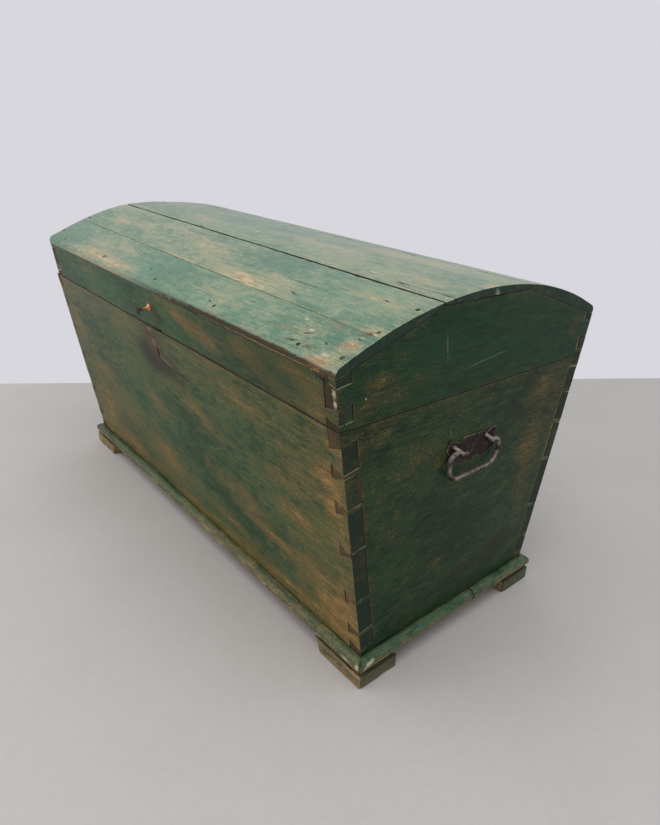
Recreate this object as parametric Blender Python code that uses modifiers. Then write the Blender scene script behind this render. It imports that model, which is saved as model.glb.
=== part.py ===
"""A dome-topped pine chest with dovetailed corners, a hinged lid, two end handles and an inside lock.

Metres, +Z up. X runs along the chest, the front faces -Y, and the floor is Z = 0.
Each piece is a separate solid, and pieces that touch keep the small clearance FIT between them.
"""
import math

import bmesh
import bpy
from mathutils import Matrix, Vector

FIT = 0.0003              # clearance between pieces that touch

# Box
BOX_LENGTH = 1.166        # over the outer faces of the end boards
BASE_DEPTH = 0.491        # over the front and back boards where they stand on the bottom
SEAM_DEPTH = 0.661        # over the front and back boards where the lid meets the box
WALL_HEIGHT = 0.471       # of the box, from the bottom boards up to the seam
WALL_THICKNESS = 0.030    # front and back boards of the box
END_THICKNESS = 0.028     # end boards of the box
EDGE_CHAMFER = 0.0012     # worn edges on both sides of the seam

# Base
BASE_THICKNESS = 0.028    # bottom boards, and the half-round moulding planted on their edges
BOTTOM_BOARDS = 3
BOTTOM_INSET = 0.002      # how far the bottom boards stop short of the walls' outer faces
MOULDING_REACH = 0.017    # how far the moulding stands out past the walls
MOULDING_JOINT = 0.060    # where the right moulding is pieced, behind the chest's middle
FOOT_HEIGHT = 0.030
FOOT_LENGTH = 0.114       # along the chest, on the floor
FOOT_WIDTH = 0.092        # across the chest
FOOT_SLOPE = 0.016        # how much longer the foot is at its top, where its inner end is cut slanting
FOOT_INSET = 0.003        # how far the front of the foot stands back from the moulding's nose

# Lid
LID_SHORT = 0.014         # how much shorter the lid is than the box, all of it at the left end
LID_WALL_HEIGHT = 0.0835  # front and back boards of the lid
LID_DEPTH = 0.686         # over the front and back boards of the lid at their tops
LID_WALL_THICKNESS = 0.027
LID_END_THICKNESS = 0.028
LID_END_HEIGHT = 0.161    # from the seam up to the flat middle of the end board's top
LID_FLAT_FRONT = 0.125    # the flat middle reaches this far forward of the chest's middle
LID_FLAT_BACK = 0.098     # and this far back
SEAM_GAP = 0.0004         # between the closed lid and the box

# Dome boards
DOME_OVERHANG = 0.001     # past the lid's front and back boards
DOME_EDGE = 0.0145        # thickness at the front and back edges
DOME_CROWN = 0.016        # thickness over the flat middle of the lid's ends
DOME_ROUND = 0.005        # rounding of the front and back edges
DOME_STEPS = 30           # flats that make up the arched top
DOME_FULLNESS = 0.009     # how much fuller the arch is at the left end than at the right
FULLNESS_Y = -0.150       # where it is fullest
FULLNESS_REACH = 0.200    # and how far from there it fades out
LOWER_JOINT_LEFT = -0.2535  # joint between the two front dome boards, which taper
LOWER_JOINT_RIGHT = -0.2645
UPPER_JOINT = -0.130      # wide shrinkage gap below the top board
BACK_JOINT = 0.099        # joint between the top board and the back board
TIGHT_GAP = 0.0006
WIDE_GAP = 0.0030
SPLIT_LENGTH = 0.122      # split in the top board, in from the right end
SPLIT_BACK = 0.025        # how far the split lies behind the wide gap
SPLIT_SLANT = 0.003       # how far it drifts towards the gap at its closed end
SPLIT_WIDTH = 0.0012

# Dovetails: heights are measured up the outer face, as shares of the wall
PIN_PLACES = (0.115, 0.275, 0.505, 0.690, 0.833)
PIN_WIDTH = 0.007         # at the corner, where a pin is narrowest
PIN_FLARE = 0.010         # how much each side spreads by the shoulder
TOP_PIN = 0.027
BOTTOM_PIN = 0.014
LID_PIN_LOW = 0.44        # the lid's one broad pin, as shares of the lid wall
LID_PIN_HIGH = 0.84
LID_BOTTOM_PIN = 0.0095
LID_PIN_FLARE = 0.007

# Keyhole and notch
KEYHOLE_X = -0.013
KEYHOLE_DROP = 0.058      # from the box's top edge down to the middle of the keyhole
KEYHOLE_LENGTH = 0.021
KEYHOLE_WIDTH = 0.0055
NOTCH_LEFT = -0.014       # chip in the lid's lower front edge
NOTCH_RIGHT = 0.030
NOTCH_HEIGHT = 0.006      # at its deepest
NOTCH_SHOULDER = 0.0036   # height where the slanting edge meets the deepest part
NOTCH_STEP = 0.0021       # width of the deepest part, and height of the step at its end
NOTCH_DEPTH = 0.012       # into the board's thickness

# Lock
CASE_LENGTH = 0.110
CASE_HEIGHT = 0.076
CASE_DEPTH = 0.022
CASE_WALL = 0.0016
CASE_DROP = 0.010         # from the box's top edge down to the lock case
BOLT_DROP = 0.036         # from the box's top edge down to the bolt
BOLT_INWARD = 0.008       # from the wall's inner face to the middle of the bolt
BOLT_LENGTH = 0.070
BOLT_HEIGHT = 0.006
BOLT_THICKNESS = 0.004
BOLT_STANDBACK = 0.0042   # of the drawn bolt's tip from the staple's lug
GUIDE_PLACES = (0.0064, 0.0504)  # right edges of the two guides, back from the drawn bolt's tip
TALON_WIDTH = 0.012       # notch in the bolt for the key's bit
TALON_DEPTH = 0.002
GUIDE_WIDTH = 0.008
KEY_POST_RADIUS = 0.0025
KEY_POST_LENGTH = 0.012
SPRING_THICKNESS = 0.0008
SPRING_WIDTH = 0.005
SPRING_REACH = 0.034
SPRING_SEAT = 0.005       # flat stretch held against the case
SPRING_LIP = 0.003        # turned-up end that rides on the bolt
LUG_OFFSET = 0.028        # staple lug, to the right of the keyhole
LUG_THICKNESS = 0.005
LUG_WIDTH = 0.010
LUG_EYE_WIDTH = 0.006
LUG_EYE_HEIGHT = 0.010
LUG_TIP = 0.003           # metal left below the eye
STAPLE_WIDTH = 0.040
STAPLE_HEIGHT = 0.052
STAPLE_THICKNESS = 0.0025

# Hinges
HINGE_PLACE = 0.360       # of each hinge, from the chest's middle
HINGE_WIDTH = 0.034
HINGE_LEAF = 0.0024
HINGE_BOX_DROP = 0.150    # length of the strap down the inside of the box
HINGE_LID_RISE = 0.062    # length of the strap up the inside of the lid
KNUCKLE_RADIUS = 0.005
KNUCKLE_BORE = 0.003
HINGE_PIN_RADIUS = 0.0026
KNUCKLE_STANDOFF = 0.0058  # from the seam's back edge out to the pin

# Handles
HANDLE_Y = -0.005         # middle of the handle, behind the chest's middle
HANDLE_DROP = 0.112       # from the box's top edge down to the bail's pivot
PLATE_LENGTH = 0.150
PLATE_RISE = 0.020        # of the backplate above the pivot
PLATE_FALL = 0.027        # and below it, in the middle
PLATE_END_FALL = 0.002    # and at its two ends
PLATE_THICKNESS = 0.002
PLATE_SCALLOP = 0.0018    # depth of the scallops along its top
PLATE_SCALLOPS = 6
PLATE_NECK = 0.0055       # depth of the two dips that set off the curled ends
PLATE_NECK_PLACE = 0.058  # of each dip, from the middle
PLATE_NECK_WIDTH = 0.008
PLATE_CURVE_STEPS = 10    # along the bow of its lower edge
BAIL_RADIUS = 0.0036
BAIL_HALF_WIDTH = 0.0747
BAIL_FALL = 0.054
BAIL_SHOULDER = 0.017     # radius of the bend above each side
BAIL_CORNER = 0.032       # radius of the bends below
BAIL_END = 0.040          # the turned-in ends stop this far from the middle
EYE_PLACE = 0.045
EYE_WIDTH = 0.0065
EYE_RADIUS = 0.0062
EYE_BORE = 0.0040
EYE_STANDOFF = 0.0070     # of the pivot from the backplate
EYE_SHANK_RADIUS = 0.0022
EYE_SHANK_END = 0.003     # wood left behind the shank's tip
HANDLE_NAIL_RADIUS = 0.0016
HANDLE_NAIL_HEAD = 0.0030   # radius of the nail's head
HANDLE_NAIL_CROWN = 0.0018  # and its height
HANDLE_NAIL_LENGTH = 0.020
HANDLE_NAIL_PLACES = ((0.000, -0.002), (-0.061, 0.014))  # along and above the pivot

# Knob
KNOB_X = -0.005
KNOB_RISE = 0.046         # up the lid's front from the seam
KNOB_LENGTH = 0.029
KNOB_HEAD_RADIUS = 0.011
KNOB_HEAD_THICKNESS = 0.005
KNOB_HEAD_CURVE = ((0.6, 0.12), (0.92, 0.3), (1.0, 0.5), (0.92, 0.75), (0.5, 1.0))  # out, and down from its top
KNOB_NECK_FLARE = 0.0025  # height over which the neck swells above and below
KNOB_NECK_RADIUS = 0.0028
KNOB_FLANGE_RADIUS = 0.0075
KNOB_FLANGE_THICKNESS = 0.002
KNOB_SHANK_RADIUS = 0.0022
KNOB_SHANK_LENGTH = 0.020

# Nails through the dome
NAIL_LENGTH = 0.048
NAIL_HEAD_RADIUS = 0.0032
NAIL_TIP_RADIUS = 0.0013
NAIL_SINK = 0.0012
FRONT_NAILS = (-0.430, -0.218, 0.003, 0.201, 0.410)   # shares of the lid's length from its middle
RIGHT_NAILS = ((0.0224,), (0.0099, 0.0891), (), (0.1521,))  # behind the front edge of each dome board
LEFT_NAILS = ((0.0344,), (0.0127,), (0.1025,), ())
FRONT_NAIL_INSET = 0.0145  # behind the dome's front edge

# Height levels
BASE_Z = FOOT_HEIGHT + BASE_THICKNESS
SEAM_Z = BASE_Z + WALL_HEIGHT
LID_Z = SEAM_Z + SEAM_GAP
LID_WALL_Z = SEAM_Z + LID_WALL_HEIGHT
LID_FLAT_Z = SEAM_Z + LID_END_HEIGHT
CROWN_Z = LID_FLAT_Z + DOME_CROWN

# Ends of the box and the lid along X
BOX_END = BOX_LENGTH / 2
LID_RIGHT = BOX_END
LID_LEFT = LID_SHORT - BOX_END
LID_LENGTH = LID_RIGHT - LID_LEFT
LID_MIDDLE = (LID_RIGHT + LID_LEFT) / 2

OVERRUN = 0.02            # how far a cutter runs past what it cuts
SHARP_EDGE = math.radians(30)  # steeper edges are shaded sharp

PAINTED_FRONT = ((0.105, 0.130, 0.085), 0.55, 0.0)
PAINTED_END = ((0.045, 0.085, 0.055), 0.50, 0.0)
PAINTED_DOME = ((0.200, 0.290, 0.215), 0.45, 0.0)
PAINTED_BASE = ((0.110, 0.190, 0.120), 0.50, 0.0)
RAW_WOOD = ((0.330, 0.200, 0.100), 0.75, 0.0)
DARK_IRON = ((0.060, 0.045, 0.045), 0.50, 0.9)
BRASS = ((0.450, 0.250, 0.130), 0.35, 1.0)

# Local X, Y of a flat outline go to these world directions, and it is thickened along the third
SECTION = Matrix(((0, 0, 1), (1, 0, 0), (0, 1, 0))).to_4x4()      # Y, Z, thickened along X
ELEVATION = Matrix(((1, 0, 0), (0, 0, -1), (0, 1, 0))).to_4x4()   # X, Z, thickened along Y


class Wall:
    """A board that leans out as it rises. side is -1 at the front and +1 at the back."""

    def __init__(self, side, foot, head, thickness, rise_z, height):
        self.side = side
        self.foot = foot
        self.foot_z = rise_z
        self.lean = math.atan2(head - foot, height)
        self.length = math.hypot(head - foot, height)
        self.thickness = thickness

    def point(self, up, inward):
        """Y and Z at a distance up the outer face and a distance in through the thickness."""
        depth = self.foot + up * math.sin(self.lean) - inward * math.cos(self.lean)
        return (self.side * depth, self.foot_z + up * math.cos(self.lean) + inward * math.sin(self.lean))

    def face(self, z, inward=0.0):
        """Y at a height, on the outer face or on a plane inside it."""
        depth = self.foot + (z - self.foot_z) * math.tan(self.lean) - inward / math.cos(self.lean)
        return self.side * depth

    def frame(self, inward):
        """A frame whose X runs along the chest and whose Y runs up the board."""
        along = Vector((1, 0, 0))
        up = Vector((0, self.side * math.sin(self.lean), math.cos(self.lean)))
        through = along.cross(up)
        turn = Matrix((along, up, through)).transposed().to_4x4()
        return Matrix.Translation((0, *self.point(0, inward))) @ turn

    def outward(self):
        return Vector((0, self.side * math.cos(self.lean), -math.sin(self.lean)))


BOX_WALLS = {side: Wall(side, BASE_DEPTH / 2, SEAM_DEPTH / 2, WALL_THICKNESS, BASE_Z, WALL_HEIGHT)
             for side in (-1, 1)}
LID_WALLS = {side: Wall(side, SEAM_DEPTH / 2, LID_DEPTH / 2, LID_WALL_THICKNESS, SEAM_Z, LID_WALL_HEIGHT)
             for side in (-1, 1)}


def clear_scene():
    for item in list(bpy.data.objects):
        bpy.data.objects.remove(item, do_unlink=True)


def new_collection(name):
    group = bpy.data.collections.new(name)
    bpy.context.scene.collection.children.link(group)
    return group


def new_empty(name, place, parent=None):
    """A frame that other pieces hang on."""
    empty = bpy.data.objects.new(name, None)
    empty.empty_display_size = 0.05
    empty.location = place
    PARTS.objects.link(empty)
    bpy.context.view_layer.update()
    if parent:
        hang(empty, parent)
    return empty


def hang(item, parent):
    item.parent = parent
    item.matrix_parent_inverse = parent.matrix_world.inverted()
    bpy.context.view_layer.update()


def add_mesh(name, mesh, matrix=None):
    item = bpy.data.objects.new(name, mesh)
    if matrix is not None:
        item.matrix_world = matrix
    CUTTERS.objects.link(item)
    return item


def tidy(mesh, weld=1e-6):
    """Closes seams, joins coplanar faces and turns every face outward."""
    shape = bmesh.new()
    shape.from_mesh(mesh)
    bmesh.ops.remove_doubles(shape, verts=shape.verts, dist=weld)
    bmesh.ops.dissolve_limit(shape, angle_limit=0.002, verts=shape.verts, edges=shape.edges)
    bmesh.ops.recalc_face_normals(shape, faces=shape.faces)
    shape.to_mesh(mesh)
    shape.free()


def curve_to_mesh(name, curve, matrix, weld=1e-6):
    """A mesh object with the curve's shape and its caps welded on."""
    holder = bpy.data.objects.new(name + "_outline", curve)
    holder.matrix_world = matrix
    bpy.context.scene.collection.objects.link(holder)
    graph = bpy.context.evaluated_depsgraph_get()
    mesh = bpy.data.meshes.new_from_object(holder.evaluated_get(graph))
    mesh.name = name
    tidy(mesh, weld)
    item = add_mesh(name, mesh, matrix)
    bpy.data.objects.remove(holder)
    return item


def flat_shape(name, outlines, thickness, matrix):
    """One or more flat outlines, thickened evenly to both sides."""
    curve = bpy.data.curves.new(name, "CURVE")
    curve.dimensions = "2D"
    curve.fill_mode = "BOTH"
    curve.extrude = thickness / 2
    for outline in outlines:
        spline = curve.splines.new("POLY")
        spline.points.add(len(outline) - 1)
        for point, (across, up) in zip(spline.points, outline):
            point.co = (across, up, 0, 1)
        spline.use_cyclic_u = True
    return curve_to_mesh(name, curve, matrix)


def section(name, outline, left, right):
    """An outline across the chest, given as Y and Z, that runs from left to right along X."""
    matrix = Matrix.Translation(((left + right) / 2, 0, 0)) @ SECTION
    return flat_shape(name, [outline], right - left, matrix)


def block(name, low, high):
    shape = bmesh.new()
    bmesh.ops.create_cube(shape, size=1.0)
    size = Vector(high) - Vector(low)
    bmesh.ops.scale(shape, vec=size, verts=shape.verts)
    bmesh.ops.translate(shape, vec=(Vector(high) + Vector(low)) / 2, verts=shape.verts)
    mesh = bpy.data.meshes.new(name)
    shape.to_mesh(mesh)
    shape.free()
    return add_mesh(name, mesh)


def rods(name, lines, sides=12):
    """Straight round bars, each given as start, end, start radius and end radius."""
    shape = bmesh.new()
    for start, end, radius, end_radius in lines:
        start, end = Vector(start), Vector(end)
        turn = (end - start).to_track_quat("Z", "Y").to_matrix().to_4x4()
        bmesh.ops.create_cone(shape, cap_ends=True, segments=sides, radius1=radius, radius2=end_radius,
                              depth=(end - start).length,
                              matrix=Matrix.Translation((start + end) / 2) @ turn)
    mesh = bpy.data.meshes.new(name)
    shape.to_mesh(mesh)
    shape.free()
    return add_mesh(name, mesh)


def rod(name, start, end, radius, sides=12):
    return rods(name, [(start, end, radius, radius)], sides)


def turned(name, profile, matrix, steps):
    """A profile of radius and height, listed from the top down, turned about its own Z."""
    mesh = bpy.data.meshes.new(name)
    mesh.from_pydata([(radius, 0, height) for radius, height in profile],
                     [(i, i + 1) for i in range(len(profile) - 1)], [])
    item = add_mesh(name, mesh, matrix)
    screw = item.modifiers.new("turn", "SCREW")
    screw.axis = "Z"
    screw.steps = steps
    screw.render_steps = steps
    screw.use_merge_vertices = True
    screw.merge_threshold = 1e-6
    return item


def combine(item, other, operation):
    change = item.modifiers.new(operation.lower(), "BOOLEAN")
    change.operation = operation
    change.solver = "EXACT"
    change.object = other
    return item


def cut(item, *cutters):
    for cutter in cutters:
        combine(item, cutter, "DIFFERENCE")
    return item


def join(item, *others):
    for other in others:
        combine(item, other, "UNION")
    return item


def settle(item):
    """Applies a shape's modifiers, then shades its curved stretches smooth and its edges sharp."""
    graph = bpy.context.evaluated_depsgraph_get()
    mesh = bpy.data.meshes.new_from_object(item.evaluated_get(graph))
    mesh.name = item.name
    item.modifiers.clear()
    item.data = mesh
    mesh.shade_smooth()
    mesh.set_sharp_from_angle(angle=SHARP_EDGE)


def finish(item, parent, look):
    """Makes a shape one of the chest's pieces, with its own material."""
    settle(item)
    colour, roughness, metallic = look
    material = bpy.data.materials.new(item.name + "_finish")
    material.use_nodes = True
    shader = material.node_tree.nodes["Principled BSDF"]
    shader.inputs["Base Color"].default_value = (*colour, 1.0)
    shader.inputs["Roughness"].default_value = roughness
    shader.inputs["Metallic"].default_value = metallic
    item.data.materials.clear()
    item.data.materials.append(material)
    CUTTERS.objects.unlink(item)
    PARTS.objects.link(item)
    hang(item, parent)
    return item


# Dovetails


class Corner:
    """The dovetails of one wall: where its pins are, and the tails between them.

    A pin belongs to the end board and is widest at the shoulder; a tail belongs to the wall.
    """

    def __init__(self, wall, pins, flare, end_thickness):
        self.wall = wall
        self.pins = pins
        self.flare = flare
        self.end_thickness = end_thickness

    def outline(self, end, side, low, high, stations):
        """A dovetail on the wall's face, from stations of distance past the corner and spread."""
        rising = [(end + side * past, low - spread) for past, spread in stations]
        falling = [(end + side * past, high + spread) for past, spread in reversed(stations)]
        return rising + falling

    def sockets(self, name, ends):
        """Cutter that makes room in the wall for the pins of both end boards."""
        depth = self.end_thickness + FIT
        wide = self.flare * depth / self.end_thickness
        stations = [(OVERRUN, FIT), (0, FIT), (-depth, wide + FIT)]
        outlines = [self.outline(end, side, low, high, stations)
                    for end, side in ends for low, high in self.pins]
        frame = self.wall.frame(self.wall.thickness / 2)
        return flat_shape(name, outlines, self.wall.thickness + 2 * OVERRUN, frame)

    def tails(self, name, end, side):
        """Cutter that makes room in an end board for the tails of the wall."""
        shoulder = -self.end_thickness
        stations = [(OVERRUN, 0), (0, 0), (shoulder, -self.flare), (shoulder - OVERRUN, -self.flare)]
        tops = [low for low, high in self.pins[1:]]
        if self.pins[-1][1] < self.wall.length:
            tops.append(self.wall.length + OVERRUN)
        outlines = [self.outline(end, side, pin[1], top, stations) for pin, top in zip(self.pins, tops)]
        depth = self.wall.thickness + FIT + OVERRUN
        return flat_shape(name, outlines, depth, self.wall.frame((self.wall.thickness + FIT - OVERRUN) / 2))


def box_corner(side):
    wall = BOX_WALLS[side]
    pins = [(-OVERRUN, BOTTOM_PIN)]
    for place in PIN_PLACES:
        middle = place * wall.length
        pins.append((middle - PIN_WIDTH / 2, middle + PIN_WIDTH / 2))
    pins.append((wall.length - TOP_PIN, wall.length + OVERRUN))
    return Corner(wall, pins, PIN_FLARE, END_THICKNESS)


def lid_corner(side):
    wall = LID_WALLS[side]
    pins = [(-OVERRUN, LID_BOTTOM_PIN), (LID_PIN_LOW * wall.length, LID_PIN_HIGH * wall.length)]
    return Corner(wall, pins, LID_PIN_FLARE, LID_END_THICKNESS)


# Box


def wall_outline(wall, low_z, high_z, chamfer_z, inner_high=None):
    """Section of a leaning board between two heights, with its worn edge at the seam."""
    inner = wall.thickness
    if inner_high is None:
        inner_high = high_z
    side = wall.side
    if chamfer_z == high_z:
        worn = [(wall.face(low_z), low_z), (wall.face(high_z - EDGE_CHAMFER), high_z - EDGE_CHAMFER),
                (wall.face(high_z) - side * EDGE_CHAMFER, high_z)]
    else:
        worn = [(wall.face(low_z) - side * EDGE_CHAMFER, low_z),
                (wall.face(low_z + EDGE_CHAMFER), low_z + EDGE_CHAMFER), (wall.face(high_z), high_z)]
    return worn + [(wall.face(inner_high, inner), inner_high), (wall.face(low_z, inner), low_z)]


def make_box_walls():
    ends = ((BOX_END, 1), (-BOX_END, -1))
    boards = {}
    for side, name in ((-1, "box_front_board"), (1, "box_back_board")):
        wall = BOX_WALLS[side]
        board = section(name, wall_outline(wall, BASE_Z, SEAM_Z, SEAM_Z), -BOX_END, BOX_END)
        cut(board, box_corner(side).sockets(name + "_sockets", ends))
        boards[side] = board
    cut(boards[-1], keyhole_cutter())
    for x in (-HINGE_PLACE, HINGE_PLACE):
        cut(boards[1], hinge_recess("box_recess", x, SEAM_Z - HINGE_LEAF - FIT, SEAM_Z + OVERRUN))
    for side in (-1, 1):
        finish(boards[side], CHEST, PAINTED_FRONT)

    front, back = BOX_WALLS[-1], BOX_WALLS[1]
    outline = [(front.face(BASE_Z), BASE_Z), (back.face(BASE_Z), BASE_Z),
               (back.face(SEAM_Z), SEAM_Z), (front.face(SEAM_Z), SEAM_Z)]
    for end, name in ((1, "box_right_end"), (-1, "box_left_end")):
        outer, inner = end * BOX_END, end * (BOX_END - END_THICKNESS)
        board = section(name, outline, min(outer, inner), max(outer, inner))
        for side in (-1, 1):
            cut(board, box_corner(side).tails(f"{name}_tails_{side}", outer, end))
        cut(board, eye_shanks("eye_holes", end, FIT), handle_nail_holes("nail_holes", end))
        finish(board, CHEST, PAINTED_END)


def keyhole_cutter():
    """A narrow slot with round ends, square through the front board."""
    wall = BOX_WALLS[-1]
    middle = wall.length - KEYHOLE_DROP
    radius = KEYHOLE_WIDTH / 2
    reach = KEYHOLE_LENGTH / 2 - radius
    outline = []
    for end, start in ((1, 0), (-1, 180)):
        for step in range(7):
            angle = math.radians(start + 30 * step)
            rise = end * reach + radius * math.sin(angle)
            outline.append((KEYHOLE_X + radius * math.cos(angle), middle + rise))
    return flat_shape("keyhole_cutter", [outline], WALL_THICKNESS + 2 * OVERRUN, wall.frame(WALL_THICKNESS / 2))


# Base


def make_bottom():
    depth = BASE_DEPTH - 2 * BOTTOM_INSET
    reach = BOX_END - BOTTOM_INSET
    width = depth / BOTTOM_BOARDS
    for number in range(BOTTOM_BOARDS):
        low = -depth / 2 + number * width + (TIGHT_GAP / 2 if number else 0)
        high = -depth / 2 + (number + 1) * width - (TIGHT_GAP / 2 if number < BOTTOM_BOARDS - 1 else 0)
        board = block(f"bottom_board_{number + 1}", (-reach, low, FOOT_HEIGHT), (reach, high, BASE_Z - FIT))
        finish(board, CHEST, RAW_WOOD)


def half_round():
    """The moulding's section: distance out from its inner face, and height."""
    height = BASE_THICKNESS - FIT
    radius = height / 2
    reach = MOULDING_REACH + BOTTOM_INSET - FIT
    outline = [(0, 0)]
    for step in range(9):
        angle = math.radians(-90 + 180 * step / 8)
        outline.append((reach - radius + radius * math.cos(angle), radius + radius * math.sin(angle)))
    outline.append((0, height))
    return outline


def moulding(name, turn, stand, corner, start=None, stop=None):
    """A strip facing +X before it is turned about Z. An end with no place of its own is mitred.

    stand is how far its inner face is from the chest's middle, and corner how far along the inner
    faces meet the next strip's.
    """
    matrix = Matrix.Rotation(turn, 4, "Z") @ Matrix.Translation((stand, 0, FOOT_HEIGHT))
    matrix = matrix @ Matrix(((1, 0, 0), (0, 0, -1), (0, 1, 0))).to_4x4()
    strip = flat_shape(name, [half_round()], 2 * corner, matrix)
    # The strip's own Z runs along it, towards -Y before it is turned
    for vertex in strip.data.vertices:
        out = vertex.co.x
        mitre = corner + out - FIT / math.sqrt(2)
        if vertex.co.z > 0:
            vertex.co.z = mitre if start is None else -start
        else:
            vertex.co.z = -mitre if stop is None else -stop
    finish(strip, CHEST, PAINTED_BASE)


def make_mouldings():
    out_x = BOX_END - BOTTOM_INSET + FIT
    out_y = BASE_DEPTH / 2 - BOTTOM_INSET + FIT
    quarter = math.pi / 2
    moulding("base_moulding_front", -quarter, out_y, out_x)
    moulding("base_moulding_back", quarter, out_y, out_x)
    moulding("base_moulding_left", 2 * quarter, out_x, out_y)
    moulding("base_moulding_right_near", 0, out_x, out_y, stop=MOULDING_JOINT - TIGHT_GAP / 2)
    moulding("base_moulding_right_far", 0, out_x, out_y, start=MOULDING_JOINT + TIGHT_GAP / 2)


def make_feet():
    outer = BOX_END + MOULDING_REACH
    front = BASE_DEPTH / 2 + MOULDING_REACH - FOOT_INSET
    for side_x, word_x in ((1, "right"), (-1, "left")):
        for side_y, word_y in ((-1, "front"), (1, "back")):
            top = FOOT_HEIGHT - FIT
            outline = [(side_x * outer, 0), (side_x * outer, top),
                       (side_x * (outer - FOOT_LENGTH - FOOT_SLOPE), top), (side_x * (outer - FOOT_LENGTH), 0)]
            middle = side_y * (front - FOOT_WIDTH / 2)
            foot = flat_shape(f"foot_{word_y}_{word_x}", [outline], FOOT_WIDTH,
                              Matrix.Translation((0, middle, 0)) @ ELEVATION)
            finish(foot, CHEST, PAINTED_BASE)


# Lid


def lid_end_top():
    """The three flats along the top of the lid's end boards, from front to back."""
    half = LID_DEPTH / 2
    return [(-half, LID_WALL_Z), (-LID_FLAT_FRONT, LID_FLAT_Z), (LID_FLAT_BACK, LID_FLAT_Z), (half, LID_WALL_Z)]


def under_dome(y):
    """Height of those flats, which are also the undersides of the dome boards."""
    top = lid_end_top()
    for (near_y, near_z), (far_y, far_z) in zip(top, top[1:]):
        if y <= far_y or far_y == top[-1][0]:
            return near_z + (far_z - near_z) * (y - near_y) / (far_y - near_y)
    return top[-1][1]


def make_lid_walls():
    ends = ((LID_RIGHT, 1), (LID_LEFT, -1))
    walls = {}
    for side, name in ((-1, "lid_front_board"), (1, "lid_back_board")):
        wall = LID_WALLS[side]
        inner_y = wall.face(LID_WALL_Z, wall.thickness)
        slope_z = under_dome(inner_y)
        inner_y = wall.face(slope_z, wall.thickness)
        outline = wall_outline(wall, LID_Z, LID_WALL_Z, LID_Z, under_dome(inner_y))
        board = section(name, outline, LID_LEFT, LID_RIGHT)
        cut(board, lid_corner(side).sockets(name + "_sockets", ends))
        walls[side] = board
    cut(walls[-1], notch_cutter(), knob_hole(), NAIL_HOLES)
    for x in (-HINGE_PLACE, HINGE_PLACE):
        cut(walls[1], hinge_recess("lid_recess", x, SEAM_Z - OVERRUN, LID_Z + HINGE_LEAF + FIT))
    for side in (-1, 1):
        finish(walls[side], LID, PAINTED_FRONT)

    front, back = LID_WALLS[-1], LID_WALLS[1]
    outline = [(front.face(LID_Z), LID_Z), (back.face(LID_Z), LID_Z)] + lid_end_top()[::-1]
    for end, outer, name in ((1, LID_RIGHT, "lid_right_end"), (-1, LID_LEFT, "lid_left_end")):
        inner = outer - end * LID_END_THICKNESS
        board = section(name, outline, min(outer, inner), max(outer, inner))
        for side in (-1, 1):
            cut(board, lid_corner(side).tails(f"{name}_tails_{side}", outer, end))
        cut(board, NAIL_HOLES)
        finish(board, LID, PAINTED_END)


def notch_cutter():
    """The chip in the lid's lower front edge deepens to the right and ends in a step."""
    outline = [(NOTCH_LEFT, LID_Z - OVERRUN), (NOTCH_LEFT, LID_Z),
               (NOTCH_RIGHT - 2 * NOTCH_STEP, LID_Z + NOTCH_SHOULDER),
               (NOTCH_RIGHT - NOTCH_STEP, LID_Z + NOTCH_HEIGHT),
               (NOTCH_RIGHT, LID_Z + NOTCH_STEP), (NOTCH_RIGHT, LID_Z - OVERRUN)]
    middle = LID_WALLS[-1].face(LID_Z) + (NOTCH_DEPTH - OVERRUN) / 2
    matrix = Matrix.Translation((0, middle, 0)) @ ELEVATION
    return flat_shape("notch_cutter", [outline], NOTCH_DEPTH + OVERRUN, matrix)


def dome_radius():
    half = LID_DEPTH / 2 + DOME_OVERHANG
    rise = CROWN_Z - (LID_WALL_Z + DOME_EDGE)
    return (half * half + rise * rise) / (2 * rise)


def fullness(y):
    """How much higher the arch stands at the left end than at the right."""
    share = min(1.0, abs(y - FULLNESS_Y) / FULLNESS_REACH)
    return DOME_FULLNESS * math.cos(share * math.pi / 2) ** 2


def dome_top(y, x=LID_RIGHT):
    radius = dome_radius()
    arch = CROWN_Z - radius + math.sqrt(radius * radius - y * y)
    return arch + fullness(y) * (LID_RIGHT - x) / LID_LENGTH


def dome_outline():
    """Section of the whole dome at its right end, before it is divided into boards."""
    half = LID_DEPTH / 2 + DOME_OVERHANG
    under = [(y, z + FIT) for y, z in lid_end_top()]
    slope_front = (under[1][1] - under[0][1]) / (under[1][0] - under[0][0])
    slope_back = (under[3][1] - under[2][1]) / (under[3][0] - under[2][0])
    front_low = (-half, under[0][1] - slope_front * DOME_OVERHANG)
    back_low = (half, under[3][1] + slope_back * DOME_OVERHANG)
    outline = [front_low, *under[1:3], back_low, (half, dome_top(half) - DOME_ROUND)]
    reach = half - DOME_ROUND
    for step in range(DOME_STEPS + 1):
        y = reach - 2 * reach * step / DOME_STEPS
        outline.append((y, dome_top(y)))
    outline.append((-half, dome_top(half) - DOME_ROUND))
    return outline


def dome_blank(name):
    """The dome before it is divided, lofted from its right end to its fuller left end."""
    blank = section(name, dome_outline(), LID_LEFT, LID_RIGHT)
    shape = bmesh.new()
    shape.from_mesh(blank.data)
    for vertex in shape.verts:
        y, z, along = vertex.co
        if along < 0 and z > under_dome(y) + DOME_EDGE / 2:
            vertex.co.y += fullness(y)
    twisted = [face for face in shape.faces if len(face.verts) == 4]
    bmesh.ops.triangulate(shape, faces=twisted)
    shape.to_mesh(blank.data)
    shape.free()
    return blank


def dome_joints(edge):
    """Y of each joint at the left and the right end, between the two edges of the dome."""
    return [(-edge, -edge), (LOWER_JOINT_LEFT, LOWER_JOINT_RIGHT), (UPPER_JOINT, UPPER_JOINT),
            (BACK_JOINT, BACK_JOINT), (edge, edge)]


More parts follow.
